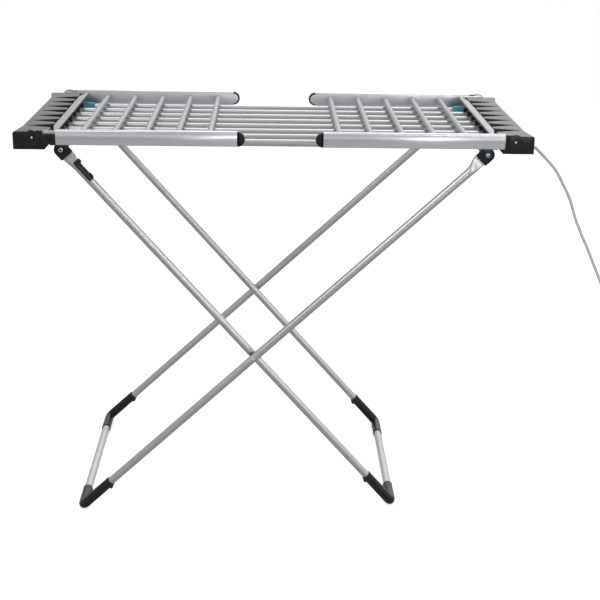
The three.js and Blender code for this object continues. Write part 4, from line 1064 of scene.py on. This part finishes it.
class AIRER_OT_stand(bpy.types.Operator):
    """Leg tubes, foot tubes, elbows, brackets, rivets and the snap clip"""
    bl_idname = "airer.stand"
    bl_label = "Stand"

    def execute(self, context):
        for name, joint in (("narrow", "stand_fold"), ("wide", "wide_frame_fold")):
            for place in PLACES:
                leg = Leg(name, joint, place)
                self.leg(leg)
                self.bracket(leg)
                self.elbow(leg)
            self.foot_tube(name)
        repaint("stand_clip", "black_plastic")
        return {"FINISHED"}

    def leg(self, leg):
        """Squared ellipses: flat and wide in the bracket, easing to the round tube below."""
        f, radius, start_y = FAN, TUBE_RADIUS, leg.tongue_y
        share = np.linspace(0, 1, 15)
        ease = eased(share)

        def blended(first, start, end, last):
            """The first ring's value, an eased run from start to end, the last ring's value."""
            return np.concatenate([[first], start + (end - start) * ease, [last]])[:, None]

        u = np.concatenate([[f["first"]], f["start"] + f["long"] * share, [leg.length - f["foot"]]])[:, None]
        wide = blended(f["first_half"], f["half"], radius, radius)
        lean = blended(0.0, f["lean"], 0.0, 0.0)
        thick = blended(f["thick"], f["thick"], radius, radius)
        shift = blended(start_y, start_y, leg.plane, leg.plane)
        power = blended(f["square"], f["square"], 1.0, 1.0)
        cos, sin = np.cos(turned(40))[None], np.sin(turned(40))[None]
        across = lean + wide * np.sign(cos) * np.abs(cos)**power
        through_y = thick * np.sign(sin) * np.abs(sin)**power
        rings = leg.points(np.broadcast_to(u, across.shape), across, leg.back * (shift + through_y))
        flat = leg.slab(tongue(0.022, 0.013, 0.0005), start_y - f["thick"], start_y + f["thick"], 0.0005)
        parts = [grid(rings), flat]
        if leg.name == "wide":
            centre, plane = self.crossing(leg), leg.plane
            parts.append(leg.turned([(plane - 0.010, 0.003), (plane + 0.0098, 0.003)], 24, centre))
        cover(leg.node.format("tube"), "leg", joined(*parts), leg.body, "leg_tube")
        if leg.name == "wide":
            self.crossing_trim(leg, centre)

    def crossing(self, leg):
        """The point on the wide frame's tube where the two frames cross."""
        narrow_x, wide_x = (JOINTS[joint]["pos_m"][0] for joint in ("stand_fold", "wide_frame_fold"))
        narrow_run = middle("narrow_foot_tube")[0] - narrow_x
        wide_run = wide_x - middle("wide_foot_tube")[0]
        return leg.top + leg.down * (leg.length * (wide_x - narrow_x) / (narrow_run + wide_run))

    def crossing_trim(self, leg, centre):
        """Black spacer between the frames and the domed rivet head."""
        node, plane = leg.node.format("tube"), leg.plane
        inner = reach(node.replace("wide_tube", "narrow_elbow"), 1)[1] - ELBOW["radius"] + TUBE_RADIUS + GAP
        spacer = leg.turned([(inner, 0.0082), (inner + 0.0006, 0.009), (plane - 0.0088, 0.009),
                             (plane - 0.0080, 0.0084)], 36, centre)
        trim(node, "spacer", spacer, leg.body, "black_plastic", sharp=35)
        turn = np.linspace(0, math.pi / 2, 8)
        dome = np.stack([plane + 0.0093 + 0.0020 * np.sin(turn), 0.0016 + 0.0024 * np.cos(turn)], 1)
        mark = [[plane + 0.0098, 0.0014], [plane + 0.0097, 0.0002]]
        dome = np.vstack([[[plane + 0.0075, 0.0040]], dome, mark])
        trim(node, "rivet", leg.turned(dome, 32, centre), leg.body, "steel", "tube_metal")

    def bracket(self, leg):
        """Round-ended block in two cheeks round the tongue, with a recessed bolt head; its recess holds a
        black piece of painted shade.
        """
        b, near, far, node = BRACKET, leg.near, leg.far, leg.node.format("bracket")
        shape = tongue(b["long"], b["half"], 0.0012, 28)
        lug_y = abs(middle("warm_bar_1")[1]) + 0.004
        parts = [leg.slab(shape, leg.tongue_y + b["slit"], far, b["rim"]),
                 leg.slab(shape, near, leg.tongue_y - b["slit"], b["rim"]),
                 self.bridge(leg),
                 leg.turned([(lug_y, 0.0026), (lug_y + 0.0005, 0.003), (far - 0.001, 0.003)], 20)]
        cover(node, "block", joined(*parts), leg.body)
        narrow = leg.name == "narrow"
        metal = "steel" if narrow else "plated_steel"
        trim(node, "bolt", leg.turned(past(far, BOLT), 32), leg.body, metal)
        # The bolt's recess gets a near-black piece of painted shade: a disc in the narrow frame's bolt, two
        # crossed slots in the wide frame's.
        if narrow:
            recess = leg.turned(past(far, NARROW_RECESS), 24)
        else:
            trim(node, "core", leg.turned(past(far, WIDE_CORE), 24), leg.body, metal)
            slots = (round_rect((-p, -q), (p, q), 0.0003, 3) for p, q in CROSS_SLOTS)
            recess = joined(*(leg.slab(slot, far + 0.0026, far + 0.0030, 0.0001) for slot in slots))
        trim(node, "recess", recess, leg.body, "hole_painted_shade")

    def bridge(self, leg):
        """Half ring that joins the cheeks round the tongue's end."""
        angle = np.radians(np.linspace(88, 272, 30))[:, None]
        inner, outer = BRACKET["bore"], BRACKET["half"] - 0.0001
        radius = np.array([[inner, outer, outer, inner]])
        near, far = leg.near + 0.001, leg.far - 0.001
        y = np.broadcast_to(leg.back * np.array([[near, near, far, far]]), (len(angle), 4))
        return grid(leg.points(radius * np.cos(angle), radius * np.sin(angle), y))

    def elbow(self, leg):
        """Two sockets joined by a swept knee, with lips at the mouths and a tab below."""
        e, length, plane = ELBOW, leg.length, leg.plane
        radius, knee, draft = e["radius"], e["knee"], e["draft"]
        turn = np.linspace(0, math.pi / 2, 13)
        centre_u, centre_y = length - knee, plane - knee
        line_u = np.concatenate([length - UPPER_MOUTH, [centre_u - 0.02], centre_u + knee * np.sin(turn),
                                 np.full(5, length)])
        line_y = np.concatenate([np.full(5, plane), centre_y + knee * np.cos(turn), [centre_y - 0.02],
                                 plane - LOWER_MOUTH])
        ahead_u, ahead_y = np.gradient(line_u), np.gradient(line_y)
        norm = np.hypot(ahead_u, ahead_y)
        side_u, side_y = (ahead_y / norm)[:, None], (-ahead_u / norm)[:, None]
        lip = np.array([0.0, e["lip"], e["lip"], 0.0])
        wide = np.concatenate([radius - draft + lip, np.full(len(turn) + 2, radius - 0.0005),
                               radius - draft + lip[::-1]])[:, None]
        cos, sin = np.cos(turned(36))[None], np.sin(turned(36))[None]
        u, y = line_u[:, None] + wide * cos * side_u, line_y[:, None] + wide * cos * side_y
        shell = grid(leg.points(u, wide * np.broadcast_to(sin, u.shape), leg.back * y))
        tab_u = length - UPPER_MOUTH[0] + e["tab"]
        outline = round_rect((tab_u, -radius - e["tab_proud"]), (tab_u + e["tab_long"], -radius + 0.003),
                             0.001, 3)
        tab = leg.slab(outline, plane - 0.004, plane + 0.004, 0.0006)
        cover(leg.node.format("elbow"), "knee", joined(shell, tab), leg.body)

    def foot_tube(self, name):
        """Tube between the two elbows of a frame."""
        node = f"{name}_foot_tube"
        low, high = node_box(node)
        x, _, z = (low + high) / 2
        part = pipe(low[1], high[1], TUBE_RADIUS, sizes().tube_wall, (x, 0, z), Y_AXIS, X_AXIS)
        cover(node, "run", part, f"{name}_frame", "foot_tube")


class AIRER_PT_panel(bpy.types.Panel):
    """Lists the airer's pieces"""
    bl_idname = "AIRER_PT_panel"
    bl_label = "Heated clothes airer"
    bl_space_type = "VIEW_3D"
    bl_region_type = "UI"
    bl_category = "Airer"

    def draw(self, context):
        """One button for each group of pieces, then the sizes and colours."""
        layout = self.layout
        for operator in OPERATORS:
            layout.operator(operator.bl_idname)
        for group in (context.scene.airer_sizes, context.scene.airer_colours):
            box = layout.box()
            for name in group.bl_rna.properties.keys():
                if name not in ("rna_type", "name"):
                    box.prop(group, name)


OPERATORS = (AIRER_OT_stage, AIRER_OT_cord, AIRER_OT_housings, AIRER_OT_lids, AIRER_OT_warm_bars,
             AIRER_OT_wings, AIRER_OT_sleeves, AIRER_OT_stand)
CLASSES = (AirerColours, AirerSizes, *OPERATORS, AIRER_PT_panel)


def register():
    for cls in CLASSES:
        bpy.utils.register_class(cls)
    bpy.types.Scene.airer_colours = bpy.props.PointerProperty(type=AirerColours)
    bpy.types.Scene.airer_sizes = bpy.props.PointerProperty(type=AirerSizes)


def unregister():
    del bpy.types.Scene.airer_sizes
    del bpy.types.Scene.airer_colours
    for cls in reversed(CLASSES):
        bpy.utils.unregister_class(cls)


def main():
    register()
    bpy.ops.airer.stage()
    bpy.ops.airer.cord()
    bpy.ops.airer.housings()
    bpy.ops.airer.lids()
    bpy.ops.airer.warm_bars()
    bpy.ops.airer.wings()
    bpy.ops.airer.sleeves()
    bpy.ops.airer.stand()
    bpy.context.view_layer.update()


if __name__ == "__main__":
    main()
